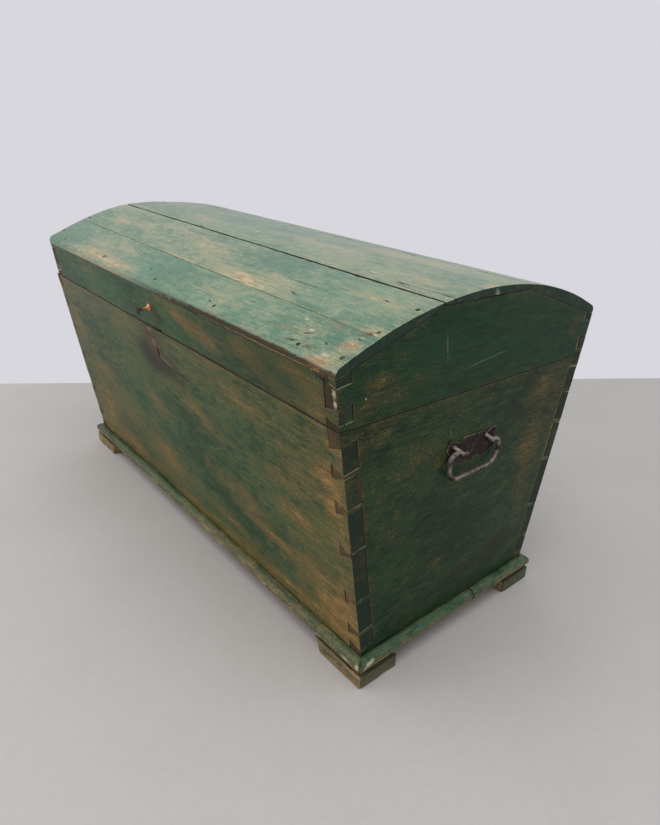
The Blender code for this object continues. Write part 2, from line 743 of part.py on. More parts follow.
def make_dome():
    joints = dome_joints(LID_DEPTH / 2 + DOME_OVERHANG + OVERRUN)
    gaps = [0, TIGHT_GAP, WIDE_GAP, TIGHT_GAP, 0]
    names = ("dome_board_front_lower", "dome_board_front_upper", "dome_board_top", "dome_board_back")
    height = CROWN_Z - SEAM_Z + 2 * OVERRUN
    for number, name in enumerate(names):
        (near_left, near_right), (far_left, far_right) = joints[number], joints[number + 1]
        near, far = gaps[number] / 2, gaps[number + 1] / 2
        left, right = LID_LEFT - OVERRUN, LID_RIGHT + OVERRUN
        plan = [(left, near_left + near), (right, near_right + near),
                (right, far_right - far), (left, far_left - far)]
        board = dome_blank(name)
        sawn = flat_shape(name + "_plan", [plan], height, Matrix.Translation((0, 0, SEAM_Z + height / 2)))
        combine(board, sawn, "INTERSECT")
        cut(board, NAIL_HOLES)
        if name == "dome_board_top":
            cut(board, split_cutter())
        finish(board, LID, PAINTED_DOME)


def split_cutter():
    """The long split beside the wide gap, open at the right end and fading out along the board."""
    y = UPPER_JOINT + SPLIT_BACK
    plan = [(LID_RIGHT - SPLIT_LENGTH, y - SPLIT_SLANT), (LID_RIGHT + OVERRUN, y - SPLIT_WIDTH / 2),
            (LID_RIGHT + OVERRUN, y + SPLIT_WIDTH / 2)]
    return flat_shape("split_cutter", [plan], 4 * OVERRUN, Matrix.Translation((0, 0, CROWN_Z)))


# Nails through the dome


def nail_lines():
    """Name, head and direction of each nail. Those along the front follow the front board's lean."""
    lines = []
    half = LID_DEPTH / 2 + DOME_OVERHANG
    front = LID_WALLS[-1]
    lean = Vector((0, -math.sin(front.lean), math.cos(front.lean)))
    for number, share in enumerate(FRONT_NAILS, 1):
        y = -half + FRONT_NAIL_INSET
        x = LID_MIDDLE + share * LID_LENGTH
        place = Vector((x, y, dome_top(y, x) - NAIL_SINK))
        lines.append((f"lid_nail_front_{number}", place, lean))
    joints = dome_joints(half)
    for word, end, side, boards in (("right", LID_RIGHT, 1, RIGHT_NAILS), ("left", LID_LEFT, -1, LEFT_NAILS)):
        depths = [joints[board][side > 0] + inset for board, insets in enumerate(boards) for inset in insets]
        for number, y in enumerate(depths, 1):
            x = end - side * LID_END_THICKNESS / 2
            place = Vector((x, y, dome_top(y, x) - NAIL_SINK))
            lines.append((f"lid_nail_{word}_{number}", place, Vector((0, 0, 1))))
    return lines


def nail_rod(head, direction, grow, above):
    """A tapered nail, as a bar whose taper carries on above its head if it is a cutter."""
    taper = (NAIL_HEAD_RADIUS - NAIL_TIP_RADIUS) / NAIL_LENGTH
    tip = head - direction * (NAIL_LENGTH + grow)
    top = head + direction * above
    return (tip, top, NAIL_TIP_RADIUS + grow, NAIL_HEAD_RADIUS + grow + taper * above)


def make_nails():
    for name, head, direction in nail_lines():
        finish(rods(name, [nail_rod(head, direction, 0, 0)], 8), LID, DARK_IRON)


# Hinges


def hinge_axis():
    return (SEAM_DEPTH / 2 + KNUCKLE_STANDOFF, SEAM_Z + SEAM_GAP / 2)


def hinge_recess(name, x, low, high):
    half = HINGE_WIDTH / 2 + FIT
    inner = BOX_WALLS[1].face(SEAM_Z, WALL_THICKNESS + LID_WALL_THICKNESS)
    return block(f"{name}_{x:+.2f}", (x - half, inner, low), (x + half, hinge_axis()[0] + OVERRUN, high))


def hinge_leaf(name, x, wall, z_face, up, length, knuckles):
    """A strap that lies in the seam, turns along the wall's inner face and ends outside in knuckles.

    z_face is the leaf's face at the seam, and up is +1 on the lid and -1 on the box.
    """
    axis_y, axis_z = hinge_axis()
    z_back = z_face + up * HINGE_LEAF
    inner = wall.thickness + FIT / math.cos(wall.lean)
    thick = HINGE_LEAF
    tip = z_face + up * length
    clear = axis_y - KNUCKLE_RADIUS - 2 * FIT
    profile = [(clear, z_face), (wall.face(z_face, inner + thick), z_face),
               (wall.face(tip, inner + thick), tip), (wall.face(tip, inner), tip),
               (wall.face(z_back, inner), z_back), (clear, z_back)]
    half = HINGE_WIDTH / 2
    leaf = section(name, profile, x - half, x + half)
    for low, high in knuckles:
        link = block(f"{name}_link_{low:+.3f}", (x + low, clear - 2 * thick, min(z_face, z_back)),
                     (x + high, axis_y - KNUCKLE_BORE / 2, max(z_face, z_back)))
        barrel = rod(f"{name}_barrel_{low:+.3f}", (x + low, axis_y, axis_z), (x + high, axis_y, axis_z),
                     KNUCKLE_RADIUS, 16)
        join(leaf, link, barrel)
    bore = rod(f"{name}_bore", (x - half - OVERRUN, axis_y, axis_z), (x + half + OVERRUN, axis_y, axis_z),
               KNUCKLE_BORE, 12)
    return cut(leaf, bore)


def make_hinges():
    half = HINGE_WIDTH / 2
    third = HINGE_WIDTH / 6
    axis_y, axis_z = hinge_axis()
    for x, word in ((-HINGE_PLACE, "left"), (HINGE_PLACE, "right")):
        lower = hinge_leaf(f"hinge_{word}_box_strap", x, BOX_WALLS[1], SEAM_Z, -1, HINGE_BOX_DROP,
                           ((-half, -third - FIT), (third + FIT, half)))
        finish(lower, CHEST, DARK_IRON)
        upper = hinge_leaf(f"hinge_{word}_lid_strap", x, LID_WALLS[1], LID_Z, 1, HINGE_LID_RISE,
                           ((-third, third),))
        finish(upper, LID, DARK_IRON)
        pin = rod(f"hinge_{word}_pin", (x - half, axis_y, axis_z), (x + half, axis_y, axis_z),
                  HINGE_PIN_RADIUS, 12)
        finish(pin, CHEST, DARK_IRON)


# Lock


def bolt_place():
    """Distance up the front wall to the middle of the bolt, and in from its outer face."""
    return BOX_WALLS[-1].length - BOLT_DROP, WALL_THICKNESS + BOLT_INWARD


def lock_slab(name, outline, near, far):
    """A shape drawn on the front board, from one distance inside its inner face to another."""
    wall = BOX_WALLS[-1]
    matrix = wall.frame(WALL_THICKNESS + (near + far) / 2)
    return flat_shape(name, [outline], far - near, matrix)


def rectangle(left, low, right, high):
    return [(left, low), (right, low), (right, high), (left, high)]


def make_lock():
    wall = BOX_WALLS[-1]
    top = wall.length - CASE_DROP
    low = top - CASE_HEIGHT
    left, right = KEYHOLE_X - CASE_LENGTH / 2, KEYHOLE_X + CASE_LENGTH / 2
    bolt_up, bolt_in = bolt_place()
    bolt_in -= WALL_THICKNESS
    lug_x = KEYHOLE_X + LUG_OFFSET
    tip = lug_x - LUG_THICKNESS / 2 - BOLT_STANDBACK

    case = lock_slab("lock_case", rectangle(left, low, right, top), FIT, CASE_DEPTH)
    inside = rectangle(left + CASE_WALL, low + CASE_WALL, right - CASE_WALL, top - CASE_WALL)
    cut(case, lock_slab("case_hollow", inside, -OVERRUN, CASE_DEPTH - CASE_WALL))
    for number, place in enumerate(GUIDE_PLACES):
        edge = BOLT_HEIGHT / 2 + CASE_WALL
        shape = rectangle(tip - place - GUIDE_WIDTH, bolt_up - edge, tip - place, bolt_up + edge)
        near, far = BOLT_INWARD - BOLT_THICKNESS, CASE_DEPTH - CASE_WALL / 2
        join(case, lock_slab(f"case_guide_{number}", shape, near, far))
    channel = rectangle(left + 2 * CASE_WALL, bolt_up - BOLT_HEIGHT / 2 - FIT,
                        right - 2 * CASE_WALL, bolt_up + BOLT_HEIGHT / 2 + FIT)
    half = BOLT_THICKNESS / 2 + FIT
    cut(case, lock_slab("bolt_channel", channel, bolt_in - half, bolt_in + half))
    key_up = wall.length - KEYHOLE_DROP
    post_near = WALL_THICKNESS + CASE_DEPTH - CASE_WALL / 2
    post_far = post_near - KEY_POST_LENGTH
    join(case, rod("key_post", (KEYHOLE_X, *wall.point(key_up, post_near)),
                   (KEYHOLE_X, *wall.point(key_up, post_far)), KEY_POST_RADIUS, 10))
    lug_y, lug_z = wall.point(*bolt_place())
    side = LUG_THICKNESS / 2 + 2 * EDGE_CHAMFER
    slot_front = lug_y - LUG_WIDTH / 2 - EDGE_CHAMFER
    slot_back = lug_y + LUG_WIDTH / 2 + 2 * EDGE_CHAMFER
    cut(case, block("lug_slot", (lug_x - side, slot_front, lug_z + LUG_EYE_HEIGHT),
                    (lug_x + side, slot_back, SEAM_Z + OVERRUN)))
    finish(case, CHEST, DARK_IRON)

    start = tip - BOLT_LENGTH
    talon = KEYHOLE_X - TALON_WIDTH / 2
    below, above = bolt_up - BOLT_HEIGHT / 2, bolt_up + BOLT_HEIGHT / 2
    outline = [(start, below), (talon, below), (talon, below + TALON_DEPTH),
               (talon + TALON_WIDTH, below + TALON_DEPTH), (talon + TALON_WIDTH, below),
               (tip, below), (tip, above), (start, above)]
    half = BOLT_THICKNESS / 2
    bolt = lock_slab("lock_bolt", outline, bolt_in - half, bolt_in + half)
    finish(bolt, BOLT, DARK_IRON)

    # The leaf spring is held under the case's top and presses down on the bolt
    ceiling = top - CASE_WALL - FIT
    root = left + CASE_WALL + FIT
    bend = above + FIT
    thick = SPRING_THICKNESS
    seat, lip, tail = root + SPRING_SEAT, root + SPRING_REACH - SPRING_LIP, root + SPRING_REACH
    outline = [(root, ceiling), (root, ceiling - thick), (seat, ceiling - thick), (lip, bend),
               (tail, bend + thick), (tail, bend + 2 * thick), (lip, bend + thick), (seat + thick, ceiling)]
    half = SPRING_WIDTH / 2
    finish(lock_slab("lock_spring", outline, bolt_in - half, bolt_in + half), CHEST, DARK_IRON)
    make_staple(lug_x, lug_y, lug_z)


def make_staple(lug_x, lug_y, lug_z):
    """The lid's half of the lock: a plate inside the lid's front, and a lug with an eye for the bolt."""
    wall = LID_WALLS[-1]
    inner = wall.thickness + FIT / math.cos(wall.lean)
    low, high = LID_Z + STAPLE_THICKNESS, LID_Z + STAPLE_HEIGHT
    outline = [(wall.face(low, inner), low), (wall.face(low, inner + STAPLE_THICKNESS), low),
               (wall.face(high, inner + STAPLE_THICKNESS), high), (wall.face(high, inner), high)]
    plate = section("lid_staple", outline, lug_x - STAPLE_WIDTH / 2, lug_x + STAPLE_WIDTH / 2)
    half = LUG_THICKNESS / 2
    arm_top = low + 2 * STAPLE_THICKNESS
    arm = block("staple_arm", (lug_x - half, wall.face(low, inner + STAPLE_THICKNESS / 2), low),
                (lug_x + half, lug_y + LUG_WIDTH / 2, arm_top))
    foot = lug_z - LUG_EYE_HEIGHT / 2 - LUG_TIP
    lug = block("staple_lug", (lug_x - half, lug_y - LUG_WIDTH / 2, foot),
                (lug_x + half, lug_y + LUG_WIDTH / 2, low + STAPLE_THICKNESS))
    eye = block("staple_eye", (lug_x - OVERRUN, lug_y - LUG_EYE_WIDTH / 2, lug_z - LUG_EYE_HEIGHT / 2),
                (lug_x + OVERRUN, lug_y + LUG_EYE_WIDTH / 2, lug_z + LUG_EYE_HEIGHT / 2))
    join(plate, arm, lug)
    finish(cut(plate, eye), LID, DARK_IRON)


# Knob


def knob_frame():
    wall = LID_WALLS[-1]
    place = Vector((KNOB_X, *wall.point(KNOB_RISE, 0)))
    turn = wall.outward().to_track_quat("Z", "X").to_matrix().to_4x4()
    return Matrix.Translation(place) @ turn


def knob_hole():
    frame = knob_frame()
    return rod("knob_hole", frame @ Vector((0, 0, -KNOB_SHANK_LENGTH - FIT)), frame @ Vector((0, 0, OVERRUN)),
               KNOB_SHANK_RADIUS + 2 * FIT, 12)


def make_knob():
    top = KNOB_LENGTH
    flange_top = KNOB_FLANGE_THICKNESS + FIT
    profile = [(0, top)]
    profile += [(out * KNOB_HEAD_RADIUS, top - down * KNOB_HEAD_THICKNESS) for out, down in KNOB_HEAD_CURVE]
    profile += [(KNOB_NECK_RADIUS, top - KNOB_HEAD_THICKNESS - KNOB_NECK_FLARE),
                (KNOB_NECK_RADIUS, flange_top + 2 * KNOB_NECK_FLARE),
                ((KNOB_NECK_RADIUS + KNOB_FLANGE_RADIUS) / 2, flange_top + KNOB_NECK_FLARE / 2),
                (KNOB_FLANGE_RADIUS, flange_top), (KNOB_FLANGE_RADIUS, FIT), (KNOB_SHANK_RADIUS, FIT),
                (KNOB_SHANK_RADIUS, -KNOB_SHANK_LENGTH), (0, -KNOB_SHANK_LENGTH)]
    finish(turned("lid_knob", profile, knob_frame(), 20), LID, BRASS)


# Handles


def handle_pivot(end):
    face = BOX_END + FIT + PLATE_THICKNESS
    return Vector((end * (face + EYE_STANDOFF), HANDLE_Y, SEAM_Z - HANDLE_DROP))


def plate_outline():
    """A backplate with scalloped top, a curl at each end and a bow below, about the pivot."""
    half = PLATE_LENGTH / 2
    outline = []
    steps = 6 * PLATE_SCALLOPS
    for step in range(steps + 1):
        share = -1 + 2 * step / steps
        crest = PLATE_SCALLOP * abs(math.cos(share * math.pi * PLATE_SCALLOPS / 2))
        neck = PLATE_NECK * math.exp(-((abs(share) * half - PLATE_NECK_PLACE) / PLATE_NECK_WIDTH) ** 2)
        outline.append((share * half, PLATE_RISE - PLATE_SCALLOP + crest - neck))
    for step in range(PLATE_CURVE_STEPS + 1):
        angle = math.pi * step / PLATE_CURVE_STEPS
        bow = (PLATE_FALL - PLATE_END_FALL) * math.sin(angle)
        outline.append((half * math.cos(angle), -PLATE_END_FALL - bow))
    return outline


def eye_shanks(name, end, grow):
    pivot = handle_pivot(end)
    tip = end * (BOX_END - END_THICKNESS + EYE_SHANK_END - grow)
    lines = []
    for side in (-1, 1):
        y = pivot.y + side * EYE_PLACE
        radius = EYE_SHANK_RADIUS + grow
        lines.append(((tip, y, pivot.z), (pivot.x, y, pivot.z), radius, radius))
    return rods(f"{name}_{end}", lines, 10)


def handle_nail_holes(name, end):
    """Cutter for the holes that take the handle's nails."""
    pivot = handle_pivot(end)
    face = BOX_END + FIT + PLATE_THICKNESS
    lines = []
    for along, above in HANDLE_NAIL_PLACES:
        y, z = pivot.y + along, pivot.z + above
        radius = HANDLE_NAIL_RADIUS + FIT
        tip = end * (face - HANDLE_NAIL_LENGTH - FIT)
        top = end * (face + OVERRUN)
        lines.append(((tip, y, z), (top, y, z), radius, radius))
    return rods(f"{name}_{end}", lines, 10)


def make_handle(end, word, pivot_empty):
    pivot = handle_pivot(end)
    face = BOX_END + FIT
    matrix = Matrix.Translation((end * (face + PLATE_THICKNESS / 2), pivot.y, pivot.z)) @ SECTION
    plate = flat_shape(f"handle_{word}_plate", [plate_outline()], PLATE_THICKNESS, matrix)
    cut(plate, eye_shanks("plate_eye_holes", end, FIT), handle_nail_holes("plate_nail_holes", end))
    finish(plate, CHEST, DARK_IRON)

    for side, side_word in ((-1, "front"), (1, "back")):
        y = pivot.y + side * EYE_PLACE
        eye = rod(f"handle_{word}_eye_{side_word}", (pivot.x, y - EYE_WIDTH / 2, pivot.z),
                  (pivot.x, y + EYE_WIDTH / 2, pivot.z), EYE_RADIUS, 20)
        tip = end * (BOX_END - END_THICKNESS + EYE_SHANK_END)
        shank = rod(f"eye_shank_{end}_{side}", (tip, y, pivot.z), (pivot.x, y, pivot.z), EYE_SHANK_RADIUS, 10)
        join(eye, shank)
        bore = rod(f"eye_bore_{end}_{side}", (pivot.x, y - EYE_WIDTH, pivot.z),
                   (pivot.x, y + EYE_WIDTH, pivot.z), EYE_BORE, 16)
        cut(eye, bore)
        finish(eye, CHEST, DARK_IRON)

    outer = face + PLATE_THICKNESS + FIT
    for number, (along, above) in enumerate(HANDLE_NAIL_PLACES, 1):
        y, z = pivot.y + along, pivot.z + above
        head = [(0, HANDLE_NAIL_CROWN), (HANDLE_NAIL_HEAD * 0.7, HANDLE_NAIL_CROWN * 0.7),
                (HANDLE_NAIL_HEAD, 0), (HANDLE_NAIL_RADIUS, 0),
                (HANDLE_NAIL_RADIUS, -HANDLE_NAIL_LENGTH), (0, -HANDLE_NAIL_LENGTH)]
        turn = Vector((end, 0, 0)).to_track_quat("Z", "Y").to_matrix().to_4x4()
        nail = turned(f"handle_{word}_nail_{number}", head, Matrix.Translation((end * outer, y, z)) @ turn, 10)
        finish(nail, CHEST, DARK_IRON)

    make_bail(f"handle_{word}_bail", pivot, pivot_empty)


def arc(centre, radius, start, stop, steps):
    for step in range(1, steps + 1):
        angle = math.radians(start + (stop - start) * step / steps)
        yield (centre[0] + radius * math.cos(angle), centre[1] + radius * math.sin(angle))


def bail_path():
    """Half of the bail's line about the pivot, from its turned-in end to the middle of the grip."""
    half = BAIL_HALF_WIDTH - BAIL_RADIUS
    points = [(BAIL_END, 0), (half - BAIL_SHOULDER, 0)]
    points += arc((half - BAIL_SHOULDER, -BAIL_SHOULDER), BAIL_SHOULDER, 90, 0, 6)
    corner_z = BAIL_CORNER - BAIL_FALL
    if -BAIL_SHOULDER - corner_z > FIT:
        points.append((half, corner_z))
    points += arc((half - BAIL_CORNER, corner_z), BAIL_CORNER, 0, -90, 8)
    return points


def make_bail(name, pivot, pivot_empty):
    half = bail_path()
    path = [(-y, z) for y, z in half] + [(y, z) for y, z in reversed(half)]
    curve = bpy.data.curves.new(name, "CURVE")
    curve.dimensions = "3D"
    curve.bevel_depth = BAIL_RADIUS
    curve.bevel_resolution = 2
    curve.use_fill_caps = True
    spline = curve.splines.new("POLY")
    spline.points.add(len(path) - 1)
    for point, (y, z) in zip(spline.points, path):
        point.co = (0, y, z, 1)
    bail = curve_to_mesh(name, curve, Matrix.Translation(pivot))
    finish(bail, pivot_empty, DARK_IRON)


def centre_on_floor():
    """Moves the whole chest so that the origin is under the middle of its overall size."""
    depths = []
    for item in PARTS.objects:
        if item.type == "MESH":
            depths += [(item.matrix_world @ vertex.co).y for vertex in item.data.vertices]
    CHEST.location.y = -(min(depths) + max(depths)) / 2


clear_scene()
PARTS = new_collection("painted_dome_chest")
CUTTERS = new_collection("cutters")
CHEST = new_empty("chest", (0, 0, 0))
LID = new_empty("lid_pivot", (0, *hinge_axis()), CHEST)
BOLT = new_empty("bolt_slide", (KEYHOLE_X, *BOX_WALLS[-1].point(*bolt_place())), CHEST)
NAIL_HOLES = rods("nail_holes", [nail_rod(head, direction, FIT, OVERRUN / 4)
                                 for name, head, direction in nail_lines()], 8)

make_box_walls()
make_bottom()
make_mouldings()
make_feet()
make_lid_walls()
make_dome()
make_nails()
make_hinges()
make_lock()
make_knob()
for end, word in ((1, "right"), (-1, "left")):
    make_handle(end, word, new_empty(f"{word}_bail_pivot", handle_pivot(end), CHEST))

for cutter in CUTTERS.objects:
    cutter.hide_render = True
    cutter.display_type = "WIRE"
    hang(cutter, CHEST)
bpy.context.view_layer.update()
centre_on_floor()
bpy.context.view_layer.update()
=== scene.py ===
import math
import random

import bmesh
import bpy
import numpy as np
from mathutils import Matrix, Vector, noise
from mathutils.kdtree import KDTree


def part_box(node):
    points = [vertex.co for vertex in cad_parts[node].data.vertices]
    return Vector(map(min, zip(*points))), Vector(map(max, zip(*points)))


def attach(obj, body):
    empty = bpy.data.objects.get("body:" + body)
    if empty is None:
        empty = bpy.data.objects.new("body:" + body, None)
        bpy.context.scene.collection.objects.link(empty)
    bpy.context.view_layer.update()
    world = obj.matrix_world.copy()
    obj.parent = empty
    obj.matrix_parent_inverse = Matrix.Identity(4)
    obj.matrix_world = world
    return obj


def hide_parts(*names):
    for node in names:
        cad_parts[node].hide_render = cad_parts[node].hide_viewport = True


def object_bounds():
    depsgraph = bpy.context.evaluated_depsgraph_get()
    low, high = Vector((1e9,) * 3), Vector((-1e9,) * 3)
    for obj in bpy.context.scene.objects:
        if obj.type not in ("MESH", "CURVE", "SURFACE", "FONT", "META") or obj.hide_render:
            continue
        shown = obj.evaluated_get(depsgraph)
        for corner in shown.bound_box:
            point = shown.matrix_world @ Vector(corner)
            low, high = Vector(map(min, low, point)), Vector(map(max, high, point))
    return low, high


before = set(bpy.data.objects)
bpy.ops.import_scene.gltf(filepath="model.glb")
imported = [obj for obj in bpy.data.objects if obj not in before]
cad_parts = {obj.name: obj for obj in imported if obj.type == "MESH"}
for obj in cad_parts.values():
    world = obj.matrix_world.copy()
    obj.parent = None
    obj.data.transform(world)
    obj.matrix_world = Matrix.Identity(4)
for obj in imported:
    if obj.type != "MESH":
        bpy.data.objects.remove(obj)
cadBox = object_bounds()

scene = bpy.context.scene
scene.view_settings.view_transform = "Standard"


# Camera, standing where the photograph was taken

camera = {
    "image": (660, 825),          # pixels
    "focal": 629.9,               # pixels
    "centre": (343.8, 393.3),     # where the view's axis meets the image, in pixels
    "azimuth": 47.62,
    "elevation": 22.70,
    "roll": 3.60,
    "distance": 1.5883,
    "slide": (-0.1520, -0.0076),  # of the target across the view
    "target": (0.0, 0.011187, 0.3),
}


def makeCamera():
    azimuth, elevation, roll = (math.radians(camera[key]) for key in ("azimuth", "elevation", "roll"))
    back = Vector((math.sin(azimuth) * math.cos(elevation), -math.cos(azimuth) * math.cos(elevation),
                   math.sin(elevation)))
    level = Vector((math.cos(azimuth), math.sin(azimuth), 0))
    up = back.cross(level)
    right = level * math.cos(roll) + up * math.sin(roll)
    top = up * math.cos(roll) - level * math.sin(roll)
    place = Vector(camera["target"]) + back * camera["distance"]
    place -= right * camera["slide"][0] + top * camera["slide"][1]
    data = bpy.data.cameras.new("camera")
    width, height = camera["image"]
    data.lens = data.sensor_width * camera["focal"] / height
    data.shift_x = (width / 2 - camera["centre"][0]) / height
    data.shift_y = (camera["centre"][1] - height / 2) / height
    item = bpy.data.objects.new("camera", data)
    scene.collection.objects.link(item)
    item.matrix_world = Matrix.Translation(place) @ Matrix((right, top, back)).transposed().to_4x4()
    scene.camera = item


makeCamera()
print("camera done")


# Shader sums: arithmetic on a Wire adds Math nodes

class Wire:
    def __init__(self, finish, socket):
        self.finish = finish
        self.socket = socket

    def __add__(self, other):
        return self.finish.sum("ADD", self, other)

    def __sub__(self, other):
        return self.finish.sum("SUBTRACT", self, other)

    def __rsub__(self, other):
        return self.finish.sum("SUBTRACT", other, self)

    def __mul__(self, other):
        return self.finish.sum("MULTIPLY", self, other)

    __radd__ = __add__
    __rmul__ = __mul__


class Finish:
    def __init__(self, owner):
        # the nodes belong to a material or to the world
        self.owner = owner
        owner.use_nodes = True
        self.tree = owner.node_tree
        self.shader = self.tree.nodes.get("Principled BSDF")

    def put(self, socket, value):
        if isinstance(value, Wire):
            self.tree.links.new(value.socket, socket)
        else:
            socket.default_value = value

    def node(self, kind, settings, sockets, output=0):
        made = self.tree.nodes.new("ShaderNode" + kind)
        for key, value in settings.items():
            setattr(made, key, value)
        for key, value in sockets.items():
            self.put(made.inputs[key], value)
        return Wire(self, made.outputs[output])

    def sum(self, operation, first, second):
        return self.node("Math", {"operation": operation}, {0: first, 1: second})

    def mix(self, factor, first, second, blend="MIX"):
        # by number, since the colour sockets share their names with the others
        return self.node("Mix", {"data_type": "RGBA", "blend_type": blend},
                         {0: factor, 6: first, 7: second}, 2)

    def smooth(self, value, low, high):
        return self.node("MapRange", {"interpolation_type": "SMOOTHSTEP"}, {0: value, 1: low, 2: high})

    def number(self, name):
        return self.node("Attribute", {"attribute_name": name}, {}, "Fac")

    def vector(self, name):
        return self.node("Attribute", {"attribute_name": name}, {}, "Vector")

    def objectPlace(self):
        return self.node("TexCoord", {}, {}, "Object")

    def stretch(self, vector, scale):
        return self.node("VectorMath", {"operation": "MULTIPLY"}, {0: vector, 1: scale})

    def noise(self, vector, scale, detail=3, rough=0.55, twist=0.0):
        return self.node("TexNoise", {}, {"Vector": vector, "Scale": scale, "Detail": detail,
                                          "Roughness": rough, "Distortion": twist})

    def spots(self, place, marks, ragged, rim):
        # 1 inside any mark, 0 outside; each is an ellipse on its face with a ragged rim
        start, end = rim
        total = 0.0
        for centre, sizes, turn in marks:
            near = self.node("Mapping", {"vector_type": "TEXTURE"},
                             {"Vector": place, "Location": centre, "Rotation": turn, "Scale": sizes})
            far = self.node("VectorMath", {"operation": "LENGTH"}, {0: near}, "Value")
            total = self.sum("MAXIMUM", self.smooth(far + ragged, start, end), total)
        return total

    def done(self, sockets, height=None, depth=0.0, strength=1.0):
        for key, value in sockets.items():
            self.put(self.shader.inputs[key], value)
        if height is not None:
            self.put(self.shader.inputs["Normal"],
                     self.node("Bump", {}, {"Strength": strength, "Distance": depth, "Height": height}))
        return self.owner


def shade(red, green, blue, alpha=1.0):
    # a colour as a picker shows it, 0 to 255, in the linear values that sockets take
    def linear(value):
        value /= 255
        return value / 12.92 if value <= 0.04045 else ((value + 0.055) / 1.055) ** 2.4
    return (linear(red), linear(green), linear(blue), alpha)


# Painted pine. A board's points carry grain (metres along, across and through it), worn, grime with
# painted shade, tint, shown (1 where paint was brushed on) and under (wear below the dome's front edge).
# Its faces carry crease (rounded edges), chip, those that went pale (chipped paint, and a painted
# highlight where they look up), and raw (never painted)

paintLooks = {
    "boxBoards": {
        "dark": shade(28, 64, 36), "light": shade(56, 94, 54), "teal": shade(36, 92, 64),
        "thin": shade(100, 92, 50), "bareDark": shade(110, 84, 46), "bareLight": shade(158, 126, 80),
        "side": shade(22, 44, 30), "sideWorn": shade(54, 48, 32), "haze": 0.85, "rough": (0.48, 0.72),
        "speckle": 1.40, "seam": 0.9, "gloss": 0.26, "streaky": 1.55, "mottled": 0.95,
        "flake": shade(146, 118, 68), "flaked": 0.30,
        "underDark": shade(44, 30, 18), "underLight": shade(116, 74, 38),
    },
    # the ends' green is darker than the front's: partly their own paint, partly painted shade
    "endBoards": {
        "dark": shade(13, 38, 20), "light": shade(34, 66, 35), "teal": shade(20, 64, 40),
        "thin": shade(66, 63, 34), "bareDark": shade(80, 62, 36), "bareLight": shade(124, 100, 60),
        "side": shade(88, 70, 44), "sideWorn": shade(134, 98, 58), "haze": 0.75, "rough": (0.44, 0.70),
        "speckle": 1.65, "seam": 0.9, "gloss": 0.22, "streaky": 1.3, "mottled": 1.1,
        "flake": shade(140, 114, 60), "flaked": 0.34,
        "underDark": shade(44, 30, 18), "underLight": shade(116, 74, 38),
    },
    # the dome's greens are lighter than the walls' same paint: a painted sheen and painted top light
    "domeBoards": {
        "dark": shade(84, 122, 98), "light": shade(118, 146, 117), "teal": shade(86, 136, 111),
        "thin": shade(158, 155, 120), "bareDark": shade(152, 124, 90), "bareLight": shade(208, 184, 144),
        "side": shade(9, 46, 27), "sideWorn": shade(34, 56, 34), "haze": 0.80, "rough": (0.31, 0.52),
        "speckle": 1.00, "seam": 2.6, "gloss": 0.50, "streaky": 1.3, "mottled": 1.1,
        "flake": shade(190, 176, 140), "flaked": 0.22,
        "underDark": shade(38, 34, 6), "underLight": shade(118, 84, 26),
    },
    "baseBoards": {
        "dark": shade(38, 68, 46), "light": shade(84, 114, 82), "teal": shade(62, 106, 82),
        "thin": shade(96, 90, 62), "bareDark": shade(92, 70, 46), "bareLight": shade(158, 130, 98),
        "side": shade(40, 62, 42), "sideWorn": shade(70, 68, 46), "haze": 0.80, "rough": (0.46, 0.70),
        "speckle": 1.5, "seam": 0.9, "gloss": 0.32, "streaky": 0.7, "mottled": 1.3,
        "flake": shade(166, 146, 98), "flaked": 0.42,
        "underDark": shade(70, 50, 30), "underLight": shade(140, 100, 64),
    },
}

pineLook = {
    "light": shade(192, 152, 104), "dark": shade(146, 104, 62), "soot": shade(74, 54, 36),
    "undersideShade": shade(46, 38, 30), "rings": (1.2, 34, 34), "wander": 1.1, "stains": (5, 9, 9), "rough": 0.78,
}

# what lies over paint and bare wood alike: share and colour. The dirt colour also lays painted shade
# and shadow, and the chip colour a painted highlight
paintOver = {
    "dirtAndShade": (0.85, shade(38, 35, 9)), "edge": (0.85, shade(24, 19, 13)), "chipAndHighlight": (0.72, shade(164, 170, 142)),
}

# kinds of mark in the order they are laid on: share, colour, and where the rim starts and ends
markKinds = {
    "soot": (0.85, shade(34, 32, 19), (1.7, 0.1)),
    "stain": (0.78, shade(84, 60, 36), (1.5, 0.3)),
    "bare": (0.65, shade(160, 116, 76), (1.4, 0.5)),
    "faint": (0.40, shade(170, 166, 136), (1.25, 0.75)),
    "pale": (0.78, shade(206, 196, 160), (1.25, 0.75)),
    "arris": (0.62, shade(182, 148, 92), (1.25, 0.75)),
    "dark": (0.92, shade(26, 22, 17), (1.25, 0.75)),
}

